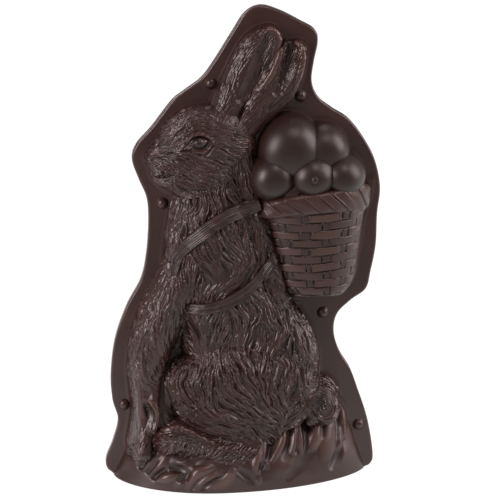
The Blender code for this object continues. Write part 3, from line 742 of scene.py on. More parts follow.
# The haunch is the great thigh of the hind leg, folded up against the belly: the fullest form of the figure,
# combed in long arcs that turn back under it towards the foot, and round the knee at its right end. A bare
# spot marks where it touches the foreleg.
HAUNCH = [
    (-30, 59.5, 19, 26), (-20, 57.5, 25.5, 31), (-10, 55, 32, 33.5), (2, 54.5, 32.5, 33.5),
    (12, 53.5, 31.5, 32), (20, 54, 24, 28.5)]
HAUNCH_LAY = [
    (-27, 77, -108), (-20, 76, -88), (-12, 78, -75), (-5, 79, -58), (0, 78, -55), (6, 80, -70),
    (-33, 74, -110), (-36, 70, -105), (-36, 62, -80), (-40, 60, -75), (-33, 57, -50), (-28, 60, -60),
    (-38, 52, -55), (-28, 50, -40), (-20, 46, -25), (-12, 44, -10), (-30, 45, -30), (-22, 41, -20),
    (-15, 37, -20), (-15, 65, -92), (-21, 66, -98), (-27, 68, -104), (-18, 55, -85), (-24, 56, -66),
    (-8, 66, -70), (-2, 66, -58), (5, 68, -66), (-5, 50, -25), (2, 46, -25), (0, 33, -35), (-10, 55, -40),
    (-2, 57, -42), (6, 57, -56), (9, 48, -34), (12, 74, -98), (16, 70, -100), (21, 64, -95), (26, 57, -118),
    (16, 48, -30), (22, 50, -62), (27, 76, -92), (32, 70, -95), (37, 70, -85), (39, 66, -112), (12, 62, -76),
    (18, 56, -76), (10, 40, -30), (-40, 44, -34), (-43, 52, -70), (34, 62, -100), (44, 60, -84)]
KNEE = [(31, 52, 9.5, 27.5), (32.5, 47.5, 10, 28)]
KNEE_LAY = [
    (39.4, 54.3, -75), (40.5, 50, -100), (39.4, 45.8, -130), (36.3, 42.6, -160), (32, 41.5, -180),
    (35, 50, -100), (33.5, 46.5, -145)]
# Middle and size of the bare spot
BARE_SPOT = (-44.5, 54, 3.5, 7)
thigh, in_thigh = clay.board.limb(HAUNCH, 3)
knee, in_knee = clay.board.limb(KNEE)
above = clay.add(blend(thigh, knee, 4), np.maximum(in_thigh, in_knee), 6)
coat_board = Board(-68, 70, 4, 114, 0.24)
coat = pelt(coat_board, coat_board.cover(HAUNCH, 20), HAUNCH_LAY + KNEE_LAY, crown=(-5, 150), seed=12)
coat = levelled(coat, 1.1, 0.85 * hill(coat_board.x, coat_board.z, *BARE_SPOT))
skin("haunch", HAUNCH, above, coat_board, coat, fur_chocolate, pitch=0.4, depth=PELT_DEPTH, reach=1.02)

# The foreleg hangs from the shoulder to the paw on the ground. Its fur runs down it, and over the wrist it
# opens in long sinews with a deep cleft between them. A swelling runs down its inner side.
ARM = [
    (-31, 130, 12, 26), (-38, 116, 13, 27), (-44.5, 102, 13.9, 26.5), (-49.5, 90, 14, 25.5),
    (-53.5, 78, 12.5, 25), (-56.3, 66, 10.3, 24), (-57, 54, 9, 23.5), (-56.6, 42, 8.6, 24),
    (-57, 31, 9.3, 27), (-58, 22, 10, 30.5)]
ARM_LAY = [
    (-36, 130, -98), (-43, 125, -118), (-50, 115, -114), (-54, 105, -110), (-59, 95, -100), (-60, 85, -94),
    (-40, 118, -92), (-34, 122, -82), (-41, 106, -92), (-46, 110, -104), (-50, 98, -104), (-52, 90, -96),
    (-46, 92, -84), (-57, 80, -76), (-51, 78, -80), (-60, 68, -62), (-55, 68, -66), (-55, 62, -42),
    (-60, 56, -84), (-51, 56, -70), (-60, 46, -92), (-53, 44, -88), (-61, 36, -100), (-55, 32, -100),
    (-49, 36, -80), (-62, 26, -112), (-56, 22, -104), (-50, 22, -90), (-45, 102, -98), (-47, 86, -78)]
SINEWS = [
    [(-58, 55, 1.6, 0.4), (-54.5, 52.5, 2.0, 0.8), (-50.4, 48.5, 2.0, 1.1), (-48.9, 43, 2.0, 1.1),
     (-49.8, 37.5, 1.8, 1.0), (-52, 33, 1.2, 0.4)],
    [(-60, 58, 2.4, 0.5), (-60.5, 48, 3.2, 0.9), (-60, 40, 2.4, 0.6)],
]
CLEFTS = [
    [(-57, 52, 1.8, 0.6), (-55, 48.3, 2.8, 1.6), (-53.3, 43.5, 2.8, 1.9), (-52.5, 38, 2.0, 1.0)],
    [(-62.5, 54, 0.9, 0.5), (-63.5, 44, 1.1, 0.7), (-63, 34, 0.9, 0.4)],
]
WRIST = [
    (-44.5, 90, 6, 18), (-46, 82, 6.3, 19.5), (-48.8, 72, 6.2, 21), (-51, 62, 6, 22.5),
    (-51.8, 52, 5.8, 25.5), (-51.8, 44, 5.5, 27), (-53, 36, 5, 28.5)]
foreleg, in_foreleg = clay.board.limb(ARM)
wrist, in_wrist = clay.board.limb(WRIST, 2.6)
above = clay.add(blend(foreleg, wrist, 2), np.maximum(in_foreleg, in_wrist), 3)
coat_board = Board(-92, 2, -2, 156, 0.24)
coat = pelt(coat_board, coat_board.cover(ARM, 18), ARM_LAY, crown=(-25, 200), seed=13, size=0.78)
calm = np.clip((72 - coat_board.z) / 14, 0, 1) * np.clip((coat_board.z - 26) / 8, 0, 1) * 0.75
coat = levelled(coat, 1.3, calm) + softened(relief(coat_board, SINEWS, CLEFTS), 8)
skin("foreleg", ARM, above, coat_board, coat, fur_chocolate,
     pitch=0.43, depth=2.8, reach=1.35, ends=(1.0, 0.8))

# Between foreleg and belly the fur slopes down into a deep cleft, which the mould keeps shallow enough to let
# the casting go. The cleft's floor has a coat of its own, which runs with the foreleg's.
BELLY = [(-20, 110, 17, 26), (-21.5, 99, 18.5, 26), (-21.5, 89, 18.5, 25.5), (-19, 79, 17, 25)]
above = clay.add(*clay.board.limb(BELLY, 1.7), 5)
coat_board = Board(-58, 6, 56, 130, 0.26)
coat = pelt(coat_board, coat_board.cover(BELLY, 8), TORSO_LAY, crown=(-15, 240), seed=20)
skin("belly", BELLY, above, coat_board, coat, fur_chocolate, pitch=0.43, depth=PELT_DEPTH)
POCKET = [(-38, 92, 13, 11), (-40, 78, 12, 11), (-45, 64, 9, 15), (-46.5, 52, 8, 22), (-45, 38, 9, 27)]
above = clay.add(*clay.board.limb(POCKET, 3), 4)
coat_board = Board(-66, -12, 14, 116, 0.3)
coat = fur(coat_board, np.ones(coat_board.x.shape), ARM_LAY + HAUNCH_LAY, crown=(-25, 200), seed=25,
           length=12, half=1.0, depth=2.0, wave=0.2)
pocket_chocolate = chocolate("pocket_chocolate", roughness=0.5, grain=0.02)
skin("pocket_floor", POCKET, above, coat_board, coat, pocket_chocolate, pitch=0.55, depth=4.0)

# The long hind foot lies on the ground under the thigh, its toes to the left. Its upper edge is a smooth
# bright ridge, and short strokes of fur cross its side down to the leaves.
HIND_FOOT = [
    (-44, 28.5, 11, 34.5), (-38, 31, 12.3, 36.3), (-30, 28.5, 12, 36.8), (-18, 24.5, 10, 36.6),
    (-4, 22, 9, 35.5), (7, 21, 6.5, 33)]
FOOT_LAY = [
    (-48, 34, -20), (-46, 24, 62), (-42, 26, 60), (-38, 25, 58), (-34, 27, 58), (-29, 26, 62), (-24, 26, 62),
    (-19, 25, 64), (-15, 26, 66), (-11, 27, 62), (-4, 25, 50), (2, 22, 40), (-20, 19, 45), (-30, 20, 50),
    (-8, 17, 30), (-38, 20, 55), (-30, 33, -18), (-20, 30, -22), (-10, 27, -15)]
FOOT_RIDGES = [
    [(-52, 33.5, 1.0, 0.5), (-46, 37.5, 1.6, 1.1), (-39, 40.3, 1.8, 1.3), (-33, 38, 1.6, 1.2),
     (-26, 34, 1.4, 1.0), (-19, 31, 1.0, 0.5)],
    [(-18.5, 23, 0.6, 0.5), (-16, 26, 1.1, 1.2), (-14, 29, 0.6, 0.6)],
    [(-21, 22.5, 0.6, 0.4), (-19, 25.5, 0.9, 0.9), (-17.5, 28, 0.6, 0.5)],
    [(-46, 22, 0.7, 0.5), (-43.5, 26, 1.3, 1.2), (-41.5, 30, 0.7, 0.5)],
    [(-42, 21, 0.7, 0.4), (-39.5, 25, 1.2, 1.0), (-37, 29, 0.7, 0.4)],
]
FOOT_FURROWS = [
    [(-42, 34.3, 1.2, 0.5), (-36, 35, 2.4, 1.1), (-29, 32.6, 2.2, 1.0), (-22, 30, 1.2, 0.4)],
]
above = clay.add(*clay.board.limb(HIND_FOOT, 2.4), 4)
coat_board = Board(-70, 30, -6, 58, 0.24)
coat = fur(coat_board, coat_board.cover(HIND_FOOT, 12), FOOT_LAY, crown=(-60, 60), seed=14,
           length=8, half=0.95, depth=2.8, wave=0.1)
calm = np.clip((coat_board.z + coat_board.x * 0.22 - 24.5) / 2.5, 0, 1) * 0.7
coat = levelled(coat, 0.8, calm) + relief(coat_board, FOOT_RIDGES, FOOT_FURROWS)
skin("hind_foot", HIND_FOOT, above, coat_board, coat, fur_chocolate, pitch=0.35, depth=2.6)

# The tail curls up behind the thigh: a hood of fur round a deep whorl. A low root joins it to the thigh, so
# that no gap is left between them in the mould.
TAIL = [(44, 52.5, 8.5, 22), (48.7, 47.5, 10.5, 24), (49, 40.5, 10.3, 24.5)]
TAIL_ROOT = [(39.5, 60, 6, 20), (40.5, 49, 6.5, 22), (40, 37, 7, 23)]
# Middle and size of the whorl's hole
WHORL_HOLE = (46, 49, 2.2, 3.5)


def whorl(x, z, radius, turn):
    """Guides for fur that runs round a centre: at each bearing the heading is the bearing and the turn."""
    return [(x + reach * math.cos(a), z + reach * math.sin(a), math.degrees(a) + turn)
            for reach in (radius * 0.35, radius * 0.7, radius * 1.05) for a in np.arange(0, 6.2, 0.7)]


tail, in_tail = clay.board.limb(TAIL)
root, in_root = clay.board.limb(TAIL_ROOT)
above = clay.add(blend(tail, root, 3), np.maximum(in_tail, in_root), 3)
coat_board = Board(20, 76, 20, 84, 0.22)
coat = fur(coat_board, np.ones(coat_board.x.shape), whorl(46.5, 45, 11, 82), crown=(47, 53.5), seed=16,
           length=14, half=0.9, depth=1.7, wave=0.05)
coat = coat - 2.4 * hill(coat_board.x, coat_board.z, *WHORL_HOLE)
skin("tail", TAIL, above, coat_board, coat, fur_chocolate, pitch=0.36, depth=1.9)

# The head looks to the left. The fur is short and fine: it fans back from the nose over the bridge and the
# brow, sweeps round under the eye over the cheek, and turns down into the neck behind the jaw.
HEAD = [
    (-47.3, 191.5, 7.2, 10), (-42.5, 192, 11.2, 14.5), (-36, 193.5, 15, 17.5), (-29, 196.5, 19.4, 20),
    (-22.5, 200.5, 23.3, 21.5), (-12, 202, 20.8, 21.5), (-7, 202, 17, 19.5)]
JAW = [
    (-43, 186, 9.5, 13.5), (-36.5, 184.5, 13, 17.5), (-29, 184.5, 14, 20.5), (-20, 187, 13, 21),
    (-12, 191, 11, 20)]
BRIDGE = [(-48, 193, 7, 10.5), (-41, 201, 6.6, 14), (-35, 208.5, 7.2, 16), (-28, 214, 9, 17.5)]
# What the head's skin covers, which is all three: x, z, half width
HEAD_GRID = [
    (-47, 190.5, 11, 0), (-42, 192, 18, 0), (-36, 193.5, 22.5, 0), (-29, 195, 26.5, 0),
    (-22, 198.5, 26.5, 0), (-12, 201.5, 24, 0), (-6, 202, 19, 0)]
HEAD_LAY = [
    (-50, 199, 15), (-50, 192, -20), (-48, 205, 50), (-42, 212, 45), (-38, 217, 40), (-33, 222, 30),
    (-28, 225, 15), (-22, 224, -5), (-17, 220, -25), (-13, 216, -35), (-44, 200, 20), (-40, 203, 30),
    (-38, 207, 40), (-33, 212, 40), (-33, 205, 35), (-28, 214, 25), (-20, 213, 0), (-14, 210, -10),
    (-28, 197, -38), (-22, 193, -38), (-18, 189, -10), (-12, 189, 0), (-40, 196, -20), (-35, 193, -25),
    (-40, 191, -15), (-35, 188, -12), (-28, 187, -15), (-22, 185, -12), (-15, 186, -5), (-30, 183, -25),
    (-35, 184, -20), (-25, 180, -25), (-20, 180, -20), (-18, 201, 60), (-15, 204, 10), (-10, 203, -35),
    (-8, 201, -45), (-5, 199, -20), (0, 200, -5), (-5, 205, -10), (0, 205, -5), (-5, 208, -15),
    (0, 209, -10), (-8, 197, -40), (-4, 196, -15), (-5, 192, -45), (-2, 186, -60), (0, 182, -70),
    (-6, 185, -50), (-10, 182, -45), (-8, 178, -55), (-14, 181, -40), (3, 196, -40), (4, 188, -62),
    (5, 203, -15)]
# Low ridges over and under the eye and on the nose, and the lines round them and of the mouth
BROWS = [
    [(-31.5, 206.5, 0.5, 0.3), (-28, 209.7, 1.0, 1.1), (-24, 210.9, 1.1, 1.2), (-19, 208.9, 1.0, 0.9),
     (-16, 206, 0.5, 0.3)],
    [(-29.5, 200.4, 0.4, 0.2), (-25, 200.2, 0.8, 0.7), (-20, 201.6, 0.8, 0.8), (-17, 205, 0.5, 0.3)],
    [(-52, 197, 1.2, 0.6), (-48, 198, 1.8, 1.0), (-45, 197.5, 1.0, 0.3)],
]
FACE_LINES = [
    [(-31, 205, 0.5, 0.3), (-27.5, 208.6, 0.55, 0.9), (-24, 209.4, 0.6, 1.0), (-19.5, 208, 0.5, 0.8),
     (-17.5, 206, 0.4, 0.3)],
    [(-19, 200, 0.4, 0.3), (-18, 202, 0.5, 0.6), (-16.5, 204.5, 0.4, 0.3)],
    [(-42.6, 199, 0.6, 0.7), (-40, 199.6, 0.7, 0.8)],
    [(-52, 184, 0.8, 0.9), (-45, 184.9, 0.9, 1.3), (-40.5, 186.4, 0.7, 0.7), (-37, 188, 0.4, 0.2)],
    [(-38, 181.5, 0.5, 0.3), (-33, 178, 0.8, 0.8), (-26, 177.5, 0.9, 1.0), (-18, 178.5, 0.8, 0.8),
     (-12, 180.5, 0.5, 0.3)],
]
EYE = (-24.3, 206.0)
EYE_TILT = math.radians(15)


def eye(x, z):
    """What the eye adds, where it is bare of fur, and how much painted shade darkens it. The lids are two
    parabolas, on which u is 1. Inside them stands an ellipsoid with a groove round the iris and one raised
    corner, which the painted shade spares as a painted highlight. Bands that fall as Gaussians of u make a
    groove along the lids, the upper lid's ridge and a fold beyond it."""
    along = (x - EYE[0]) * math.cos(EYE_TILT) + (z - EYE[1]) * math.sin(EYE_TILT)
    across = (z - EYE[1]) * math.cos(EYE_TILT) - (x - EYE[0]) * math.sin(EYE_TILT)
    open_lid = 2.8 * np.maximum(1 - (along / 5) ** 2, 0.02)
    u = np.abs(across) / open_lid + np.maximum(np.abs(along) - 4.3, 0)
    iris = np.hypot(along + 0.8, across - 0.2)
    ball = 2.8 * np.sqrt(np.maximum(1 - (along / 5.4) ** 2 - (across / 3.8) ** 2, 0)) * (u < 1)
    ball = ball - 0.5 * np.exp(-((iris - 1.9) / 0.45) ** 2) * (u < 1)
    groove = -1.0 * np.exp(-((u - 1.06) / 0.13) ** 2)
    ridge = 0.7 * np.exp(-((u - 1.42) / 0.2) ** 2) * (across > -1)
    fold = 0.6 * np.exp(-((u - 1.85) / 0.16) ** 2) * (across > 0)
    bare = np.clip((2.1 - u) / 0.5, 0, 1)
    corner = hill(along, across, 2.8, 0, 1.1, 1.2)
    ball = ball + 0.9 * corner * (u < 1)
    # The eye is painted dark as painted shade, and its corner is left lighter as a painted highlight
    painted_shade = np.clip((1.5 - u) / 0.3, 0, 1) * (0.95 - 0.9 * corner)
    return (ball + groove + (ridge - fold)) * bare, bare, painted_shade


def socket_shade(x, z):
    """How much painted shade the eye puts on a place."""
    return eye(x, z)[2]


def smear(x, z):
    """Where the warm smear runs down behind the cheek: a smooth spot of half strength."""
    return 0.5 * hill(x, z, 5, 200, 4, 12)


skull, in_skull = clay.board.limb(HEAD, 2.4)
jaw, in_jaw = clay.board.limb(JAW, 2.2)
bridge, in_bridge = clay.board.limb(BRIDGE, 2.2)
above = clay.add(blend(blend(skull, jaw, 3), bridge, 3), np.max([in_skull, in_jaw, in_bridge], axis=0), 7)
coat_board = Board(-74, 30, 156, 246, 0.2)
coat = fur(coat_board, coat_board.cover(HEAD, 16), HEAD_LAY, crown=(-56, 196), seed=17,
           length=9, half=0.78, depth=1.9, wave=0.14)
ball, bare, _ = eye(coat_board.x, coat_board.z)
coat = levelled(coat, 0.6, bare) + ball + relief(coat_board, BROWS, FACE_LINES)
skin("head", HEAD_GRID, above, coat_board, coat, fur_chocolate, pitch=0.33, depth=1.9,
     tan=smear, painted_shade=socket_shade, reach=1.12, ends=(0.9, 0.8))

# The ears stand up and back from the head, the near one in front of the far one, with the gap between them
# filled in the mould. Each is a leaf with a hollow, smooth along its rim and combed lengthwise inside.
NEAR_EAR = [
    (-10, 216, 9, 16), (-4.5, 228, 10.2, 12.5), (1, 236, 11.8, 11), (5, 243, 12.4, 10.5),
    (8.8, 251, 12.1, 10), (12.2, 257.5, 10.8, 9.5), (15.8, 261.5, 8.6, 9)]
FAR_EAR = [
    (2, 212, 8.5, 15), (13, 220.5, 8.5, 11.5), (22, 230, 9.4, 10), (27.5, 240, 9.2, 9), (31, 249, 7.6, 8.5),
    (32.8, 255.3, 6, 7.5)]
# What the far ear's skin covers, its root and the filled gap included
FAR_GRID = [
    (0, 212, 11, 0), (11, 220.5, 11.5, 0), (19.5, 231, 11.8, 0), (25.5, 241, 10.8, 0), (30, 249.5, 8.5, 0),
    (32, 255.3, 6.6, 0)]
# What fills the gap between the two
EAR_WEB = [
    (5, 214, 9, 15.5), (12, 228, 8.5, 11.5), (18.5, 240, 7, 9.5), (23.5, 250, 5.5, 8), (26.3, 257, 4.5, 6.5)]
NEAR_HOLLOW = [
    (0, 229, 3, 1.2), (5, 235, 4.5, 2.0), (9, 242, 6, 2.8), (12, 249, 6.4, 3.2), (14, 256, 5.4, 3.0),
    (16, 263, 3.6, 1.6)]
FAR_HOLLOW = [(21, 232, 3, 1.2), (25, 240, 4.2, 3.2), (28, 249, 4.4, 4.5), (29.3, 256, 3.6, 4)]
EAR_RIMS = [
    [(8, 232, 1.2, 0.4), (14, 237.5, 1.6, 0.9), (18.6, 244, 1.8, 1.2), (21.3, 252, 1.9, 1.3),
     (23, 259.5, 2.0, 1.3), (21.5, 265.5, 1.9, 1.2), (17.5, 267.8, 1.6, 1.0), (12.5, 266.3, 1.2, 0.5)],
    [(31, 233, 1.2, 0.6), (34.2, 241, 1.6, 1.1), (36, 250, 1.6, 1.2), (35.2, 257, 1.6, 1.2),
     (32, 260, 1.3, 0.8)],
]
EAR_LAY = [
    (-14, 216, 52), (-11, 222, 56), (-11, 229, 58), (-8, 240, 75), (-4, 249, 60), (1, 256, 45), (6, 262, 35),
    (0, 227, 56), (4, 236, 64), (8, 246, 72), (12, 256, 72), (16, 262, 66), (-5, 218, 52), (-7, 228, 54),
    (1, 220, 55), (7, 227, 52), (14, 238, 55), (14, 225, 45), (18, 220, 38), (24, 230, 45), (25, 237, 54),
    (28, 245, 66), (31, 253, 70), (19, 248, 66), (8, 216, 42), (3, 211, 40), (33, 240, 72), (-3, 240, 70)]
# Where the ears are smooth, and where the near one is ridged inside: x, z, half width
SMOOTH = [
    [(1, 232, 2.5, 1), (4, 242, 4, 1), (7.5, 250, 3.0, 1)],
    [(14, 237.5, 1.8, 1), (18.6, 244, 2.2, 1), (21.3, 252, 2.6, 1), (23, 259.5, 2.8, 1),
     (21.5, 265.5, 2.8, 1), (17.5, 268, 2.4, 1)],
]
RIDGED = [(10, 240, 2, 1), (12.5, 249, 3.2, 1), (14.5, 257, 3.4, 1), (15, 263, 2.5, 1)]
near, in_near = clay.board.limb(NEAR_EAR, 2.5)
far, in_far = clay.board.limb(FAR_EAR, 2.5)
web, in_web = clay.board.limb(EAR_WEB, 2.5)
far = blend(far, web, 2)
near = near - np.maximum(clay.board.limb(NEAR_HOLLOW, 1.4)[0], 0)
far = far - np.maximum(clay.board.limb(FAR_HOLLOW, 1.4)[0], 0)
coat_board = Board(-34, 56, 196, 286, 0.22)
covers = np.maximum(coat_board.cover(NEAR_EAR, 10), coat_board.cover(FAR_EAR, 10))
coat = fur(coat_board, covers, EAR_LAY, crown=(-10, 200), seed=18,
           length=11, half=0.72, depth=1.4, wave=0.1)
ridged = fur(coat_board, covers, EAR_LAY, crown=(-10, 200), seed=24,
             length=14, half=0.75, depth=2.4, wave=0.08)
plain = 0.75 * np.max([np.clip(coat_board.limb(row)[1] / 1.2 + 0.3, 0, 1) for row in SMOOTH], axis=0)
coat = levelled(coat, 0.7, plain)
inner = np.clip(coat_board.limb(RIDGED)[1] / 2.5 + 0.3, 0, 0.8)
coat = levelled(coat, ridged - 0.4, inner) + relief(coat_board, EAR_RIMS, [])
above = clay.add(np.maximum(near, far), np.max([in_near, in_far, in_web], axis=0), 5)
far_above = np.where(far >= near - 0.6, above, far - near)
near_above = np.where(near >= far - 0.6, above, near - far)
skin("far_ear", FAR_GRID, far_above, coat_board, coat, fur_chocolate, pitch=0.37, depth=1.6)
skin("near_ear", NEAR_EAR, near_above, coat_board, coat, fur_chocolate, pitch=0.35, depth=1.6)

# Between the back and the basket the fur slopes down to a crease, which is plain chocolate painted
# wholly in the dark hollow colour as painted shade, and is kept shallow, so that the casting leaves the
# mould.
FLANK = [
    (1.5, 199, 11, 16), (2.5, 187, 10, 17.5), (5, 172, 9, 19), (8, 160, 9, 19.5), (12, 146, 9, 20),
    (16, 132, 9, 20), (20, 120, 9, 20), (23.5, 110, 8, 19)]
above = clay.add(*clay.board.limb(FLANK, 2), 5)
coat_board = Board(-22, 50, 92, 212, 0.24)
coat = pelt(coat_board, coat_board.cover(FLANK, 8), TORSO_LAY, crown=(-15, 240), seed=19)
skin("flank", FLANK, above, coat_board, coat, fur_chocolate, pitch=0.44, depth=PELT_DEPTH)
PACK_CREASE = [
    (12, 214, 6, 8), (11, 200, 7, 8), (11, 186, 7, 10), (15, 168, 8, 14), (21, 150, 7, 14), (25, 130, 6, 13),
    (28, 117, 5, 11)]
plain_chocolate = chocolate("plain_chocolate", roughness=0.36, grain=0.012)


def draped(name, places, height, material, rise):
    """A skin over the places at the heights given for them."""
    x, z = places
    y = -np.maximum(height, -SKIN_EDGE)
    cast(name, *backed(x, y, z), material, rise=edged(np.broadcast_to(rise, x.shape)))


def filler(name, stations, fullness, pitch, rise):
    """A plain limb that fills what lies between its neighbours."""
    places = spread(stations, pitch)
    height = clay.board.read(clay.board.limb(stations, fullness)[0], *places)
    draped(name, places, height, plain_chocolate, rise)


# The crease is painted wholly in the hollow's painted shade
filler("pack_crease", PACK_CREASE, fullness=3, pitch=0.9, rise=0.0)

# Two straps hold the basket on: one over the shoulder, one round the waist. Each is a flat band, pressed
# into the fur, with ridges along it like a rolled leather strap; the upper one is cut off square.
UPPER_STRAP = [
    (9.8, 168.5, 3.9, 20), (5, 167, 4.1, 20), (0, 165.4, 4.1, 20), (-5, 164.2, 4.1, 20), (-10, 162.4, 4, 20),
    (-15, 159.7, 3.9, 20), (-20, 156.4, 3.8, 20), (-25, 152.4, 3.7, 20), (-30, 148, 3.4, 20),
    (-34, 143.5, 3.1, 19), (-37.5, 138, 2.6, 18), (-39.5, 131, 2, 17)]
LOWER_STRAP = [
    (18.8, 137.5, 2.2, 16), (14.5, 131, 2.8, 19), (9, 124.6, 3.1, 20), (4, 120.2, 3.3, 21),
    (-2, 116.2, 3.4, 22), (-10, 112.1, 3.5, 22), (-20, 109.4, 3.3, 22), (-30, 108.6, 2.8, 20)]


def strap(name, stations, ends, seed):
    """A flat band laid over the front: level across, with a low cosine of ridges, and steep at both edges."""
    x, z = spread(stations, 0.3, reach=1.05, ends=ends)
    under = np.maximum(clay.board.read(clay.front(), x, z),
                       clay.board.read(clay.board.limb(stations, 6)[0], x, z))
    u = np.linspace(-1, 1, x.shape[1])[None, :]
    v = np.linspace(0, 1, x.shape[0])[:, None]
    bent = u + 0.12 * np.sin(5 * v + seed)
    cord = 0.6 * np.cos(2.6 * math.pi * bent) * (0.4 + 0.6 * v) + 0.45 * np.cos(7.3 * math.pi * bent + 4 * v)
    cord = cord + 0.5 * ripple(x, z, 7, seed)
    flat = np.clip((1 - np.abs(u)) * 6, 0, 1)
    height = np.where(under > -5, under + 1.0 + 0.3 * cord * flat - 2.6 * (1 - flat) ** 2, -5)
    # The band's colour is darker than the fur's, lighter on its ridges and darker between them, as painted
    # highlight and painted shade
    draped(name, (x, z), height, fur_chocolate, np.clip(0.28 + 0.4 * cord * flat, 0, 1))


strap("upper_strap", UPPER_STRAP, (0.15, 1.2), 21)
strap("lower_strap", LOWER_STRAP, (1.0, 1.0), 22)

# The basket is woven: flat splints pass in front of one stake and behind the next, and the next row does so
# the other way about. The cup is half round and leans a little to the left.
BASKET_X = 45.3
BASKET_LEAN = 0.04
BASKET_BOTTOM = 108.4
BASKET_TOP = 172.6
BASKET_RADIUS = 25.5
FIRST_ROW = 113.4
ROW_PITCH = 4.95
STAKE_TURN = math.radians(25)
STAKE_HALF_WIDTH = 2.3


def cup_radius(along):
    """Radius of the cup at a level: it grows evenly upwards, and its lower corner is rounded by a square."""
    share = np.clip((along - BASKET_BOTTOM) / (BASKET_TOP - BASKET_BOTTOM), 0, 1)
    low = np.clip(1 - (along - BASKET_BOTTOM) / 15, 0, 1)
    flare = np.clip((along - 154) / 12, 0, 1)
    return 19.2 + 10.2 * share + 1.8 * flare ** 2 - 7.5 * low ** 2


def cup(turn, along, left=7.5, square=4.0):
    """Place and height on the half cup at a bearing round it and a level, and the distance inside it: the
    depth grows evenly upwards, and the section is (1 - sin^2.2)^(1/2), wider and squarer on the left."""
    share = np.clip((along - BASKET_BOTTOM) / (BASKET_TOP - BASKET_BOTTOM), 0, 1)
    low = np.maximum(1 - (along - BASKET_BOTTOM) / 9, 0)
    depth = 19 + 6.5 * share - 6 * low ** 3
    side = np.sin(turn)
    radius = cup_radius(along) + np.where(side < 0, left, 0.0) * np.abs(side)
    x = BASKET_X + (BASKET_TOP - along) * BASKET_LEAN + radius * side
    z = along + BASKET_LEAN * (x - BASKET_X)
    height = depth * np.sqrt(1 - np.abs(side) ** np.where(side < 0, square, 2.2))
    return x, z, height, np.minimum(radius * (1 - np.abs(side)), along - BASKET_BOTTOM)


def weave(turn, along):
    """Relief of the splints and stakes: along a row a splint runs over the stake that it hides and dives at
    the next, which stands flush in the gap. The grooves between the rows are cut unevenly deep."""
    around = turn * 26
    along = along + 0.22 * ripple(around, along, 22, 31)
    level = (along - FIRST_ROW) / ROW_PITCH
    row = np.floor(level)
    v = np.abs(2 * (level - row) - 1)
    run = (turn - math.radians(4.5)) / STAKE_TURN + 0.07 * ripple(around, row * 7, 9, 32)
    q = np.mod(run + row, 2)
    away = np.minimum(q, 2 - q) * STAKE_TURN * BASKET_RADIUS
    worn = np.clip(0.62 + 0.5 * ripple(around, along * 1.6, 13, 34), 0.15, 1)
    seam = np.clip((1 - v) * 4.6, 0, 1) ** 1.5
    seam = 1 - worn * (1 - seam)
    slot = 1 - (1.1 - worn) * np.exp(-((away - STAKE_HALF_WIDTH) / 0.38) ** 2)
    dive = 0.8 + 0.2 * np.clip((away - STAKE_HALF_WIDTH) / 3, 0, 1)
    number = np.floor((run + row) / 2)
    uneven = 0.1 * np.sin(number * 12.9 + row * 78.2)
    return seam * slot * np.where(away > STAKE_HALF_WIDTH, dive + uneven, 0.74)


turn = np.linspace(-math.pi / 2 + 0.02, math.pi / 2 - 0.02, 420)[None, :]
along = BASKET_BOTTOM + 0.3 + np.linspace(0, 1, 190)[:, None] ** 1.05 * 57
x, z, height, inside = cup(turn, along)
woven = weave(turn, along + 0 * turn)
bound = np.clip((along - BASKET_BOTTOM - 3.2) / 1.5, 0, 1) * np.clip((1.3 - np.abs(turn + 0.12)) / 0.3, 0, 1)
woven = 0.7 + (woven - 0.7) * bound
x, y, z = pushed(x, -walled(height, inside), z, 1.35 * (woven - 0.7))
weave_chocolate = chocolate("weave_chocolate", roughness=0.42, grain=0.02)
# A painted warm sheen on the basket's right side
warm = 0.75 * np.clip((turn - 0.95) / 0.45, 0, 1) + 0 * along
# Painted shade in the weave's grooves and slots and on the cup's left side, where it turns back into the
# crease
rise = np.clip(woven * 1.3 - 0.65 - np.clip(-turn - 0.9, 0, 0.5), 0, 1)
cast("basket", *backed(x, np.minimum(y, SKIN_EDGE), z), weave_chocolate,
     rise=edged(rise), tan=edged(warm, 0.0))

# The rim is a thick hoop round the top of the basket, bound with slanting lashings. It rises to the right,
# and narrows at both ends, where it runs into the flange.

# x, upper edge, lower edge
RIM = [
    (6, 169.5, 158), (11, 170.6, 159), (15, 171.2, 159.8), (20, 172.3, 160.8), (28, 174.3, 162),
    (40, 175.8, 162.7), (52.5, 176.7, 163.4), (61.5, 178.0, 163.3), (69.4, 178.3, 161.5), (73, 177.6, 160.8),
    (77, 176, 160.5)]
LASHING_PITCH = 8.6
turn = np.linspace(-math.pi / 2 + 0.02, math.pi / 2 - 0.02, 360)[None, :]
tall = np.linspace(0, 1, 70)[:, None]
x, _, height, _ = cup(turn, BASKET_TOP - 5.6 + 0 * tall, 6.8, 8)
x = x - 0.9 * np.maximum(np.sin(turn), 0)
edges = through(RIM, 8)
upper, lower = (np.interp(x, edges[:, 0], edges[:, i]) for i in (1, 2))
corner = np.clip((x - 69) / 6, 0, 1) ** 2
heel = np.clip((15 - x) / 6, 0, 1) ** 2
upper, lower = upper - 3 * corner - heel, lower + 3 * corner + 4 * heel
z = lower + (upper - lower) * tall
bulge = np.sqrt(np.clip(1 - np.abs(2 * tall - 1) ** 4, 0, 1))
run = turn * 30 + 13.0 * tall
lash = np.mod(run / LASHING_PITCH + 0.06 * ripple(run, tall * 10, 20, 36), 1)
near = np.minimum(lash, 1 - lash) * LASHING_PITCH
worn = np.clip(0.55 + 0.5 * ripple(run, tall * 12, 14, 35), 0.1, 1)
cut = np.exp(-(near / 0.5) ** 2) * worn
lip = np.exp(-((lash * LASHING_PITCH - 1.0) / 0.5) ** 2) * worn
band = 1.2 * bulge - 0.75 * cut * bulge + 0.35 * lip * bulge + 0.15 * ripple(run, z, 9, 33)
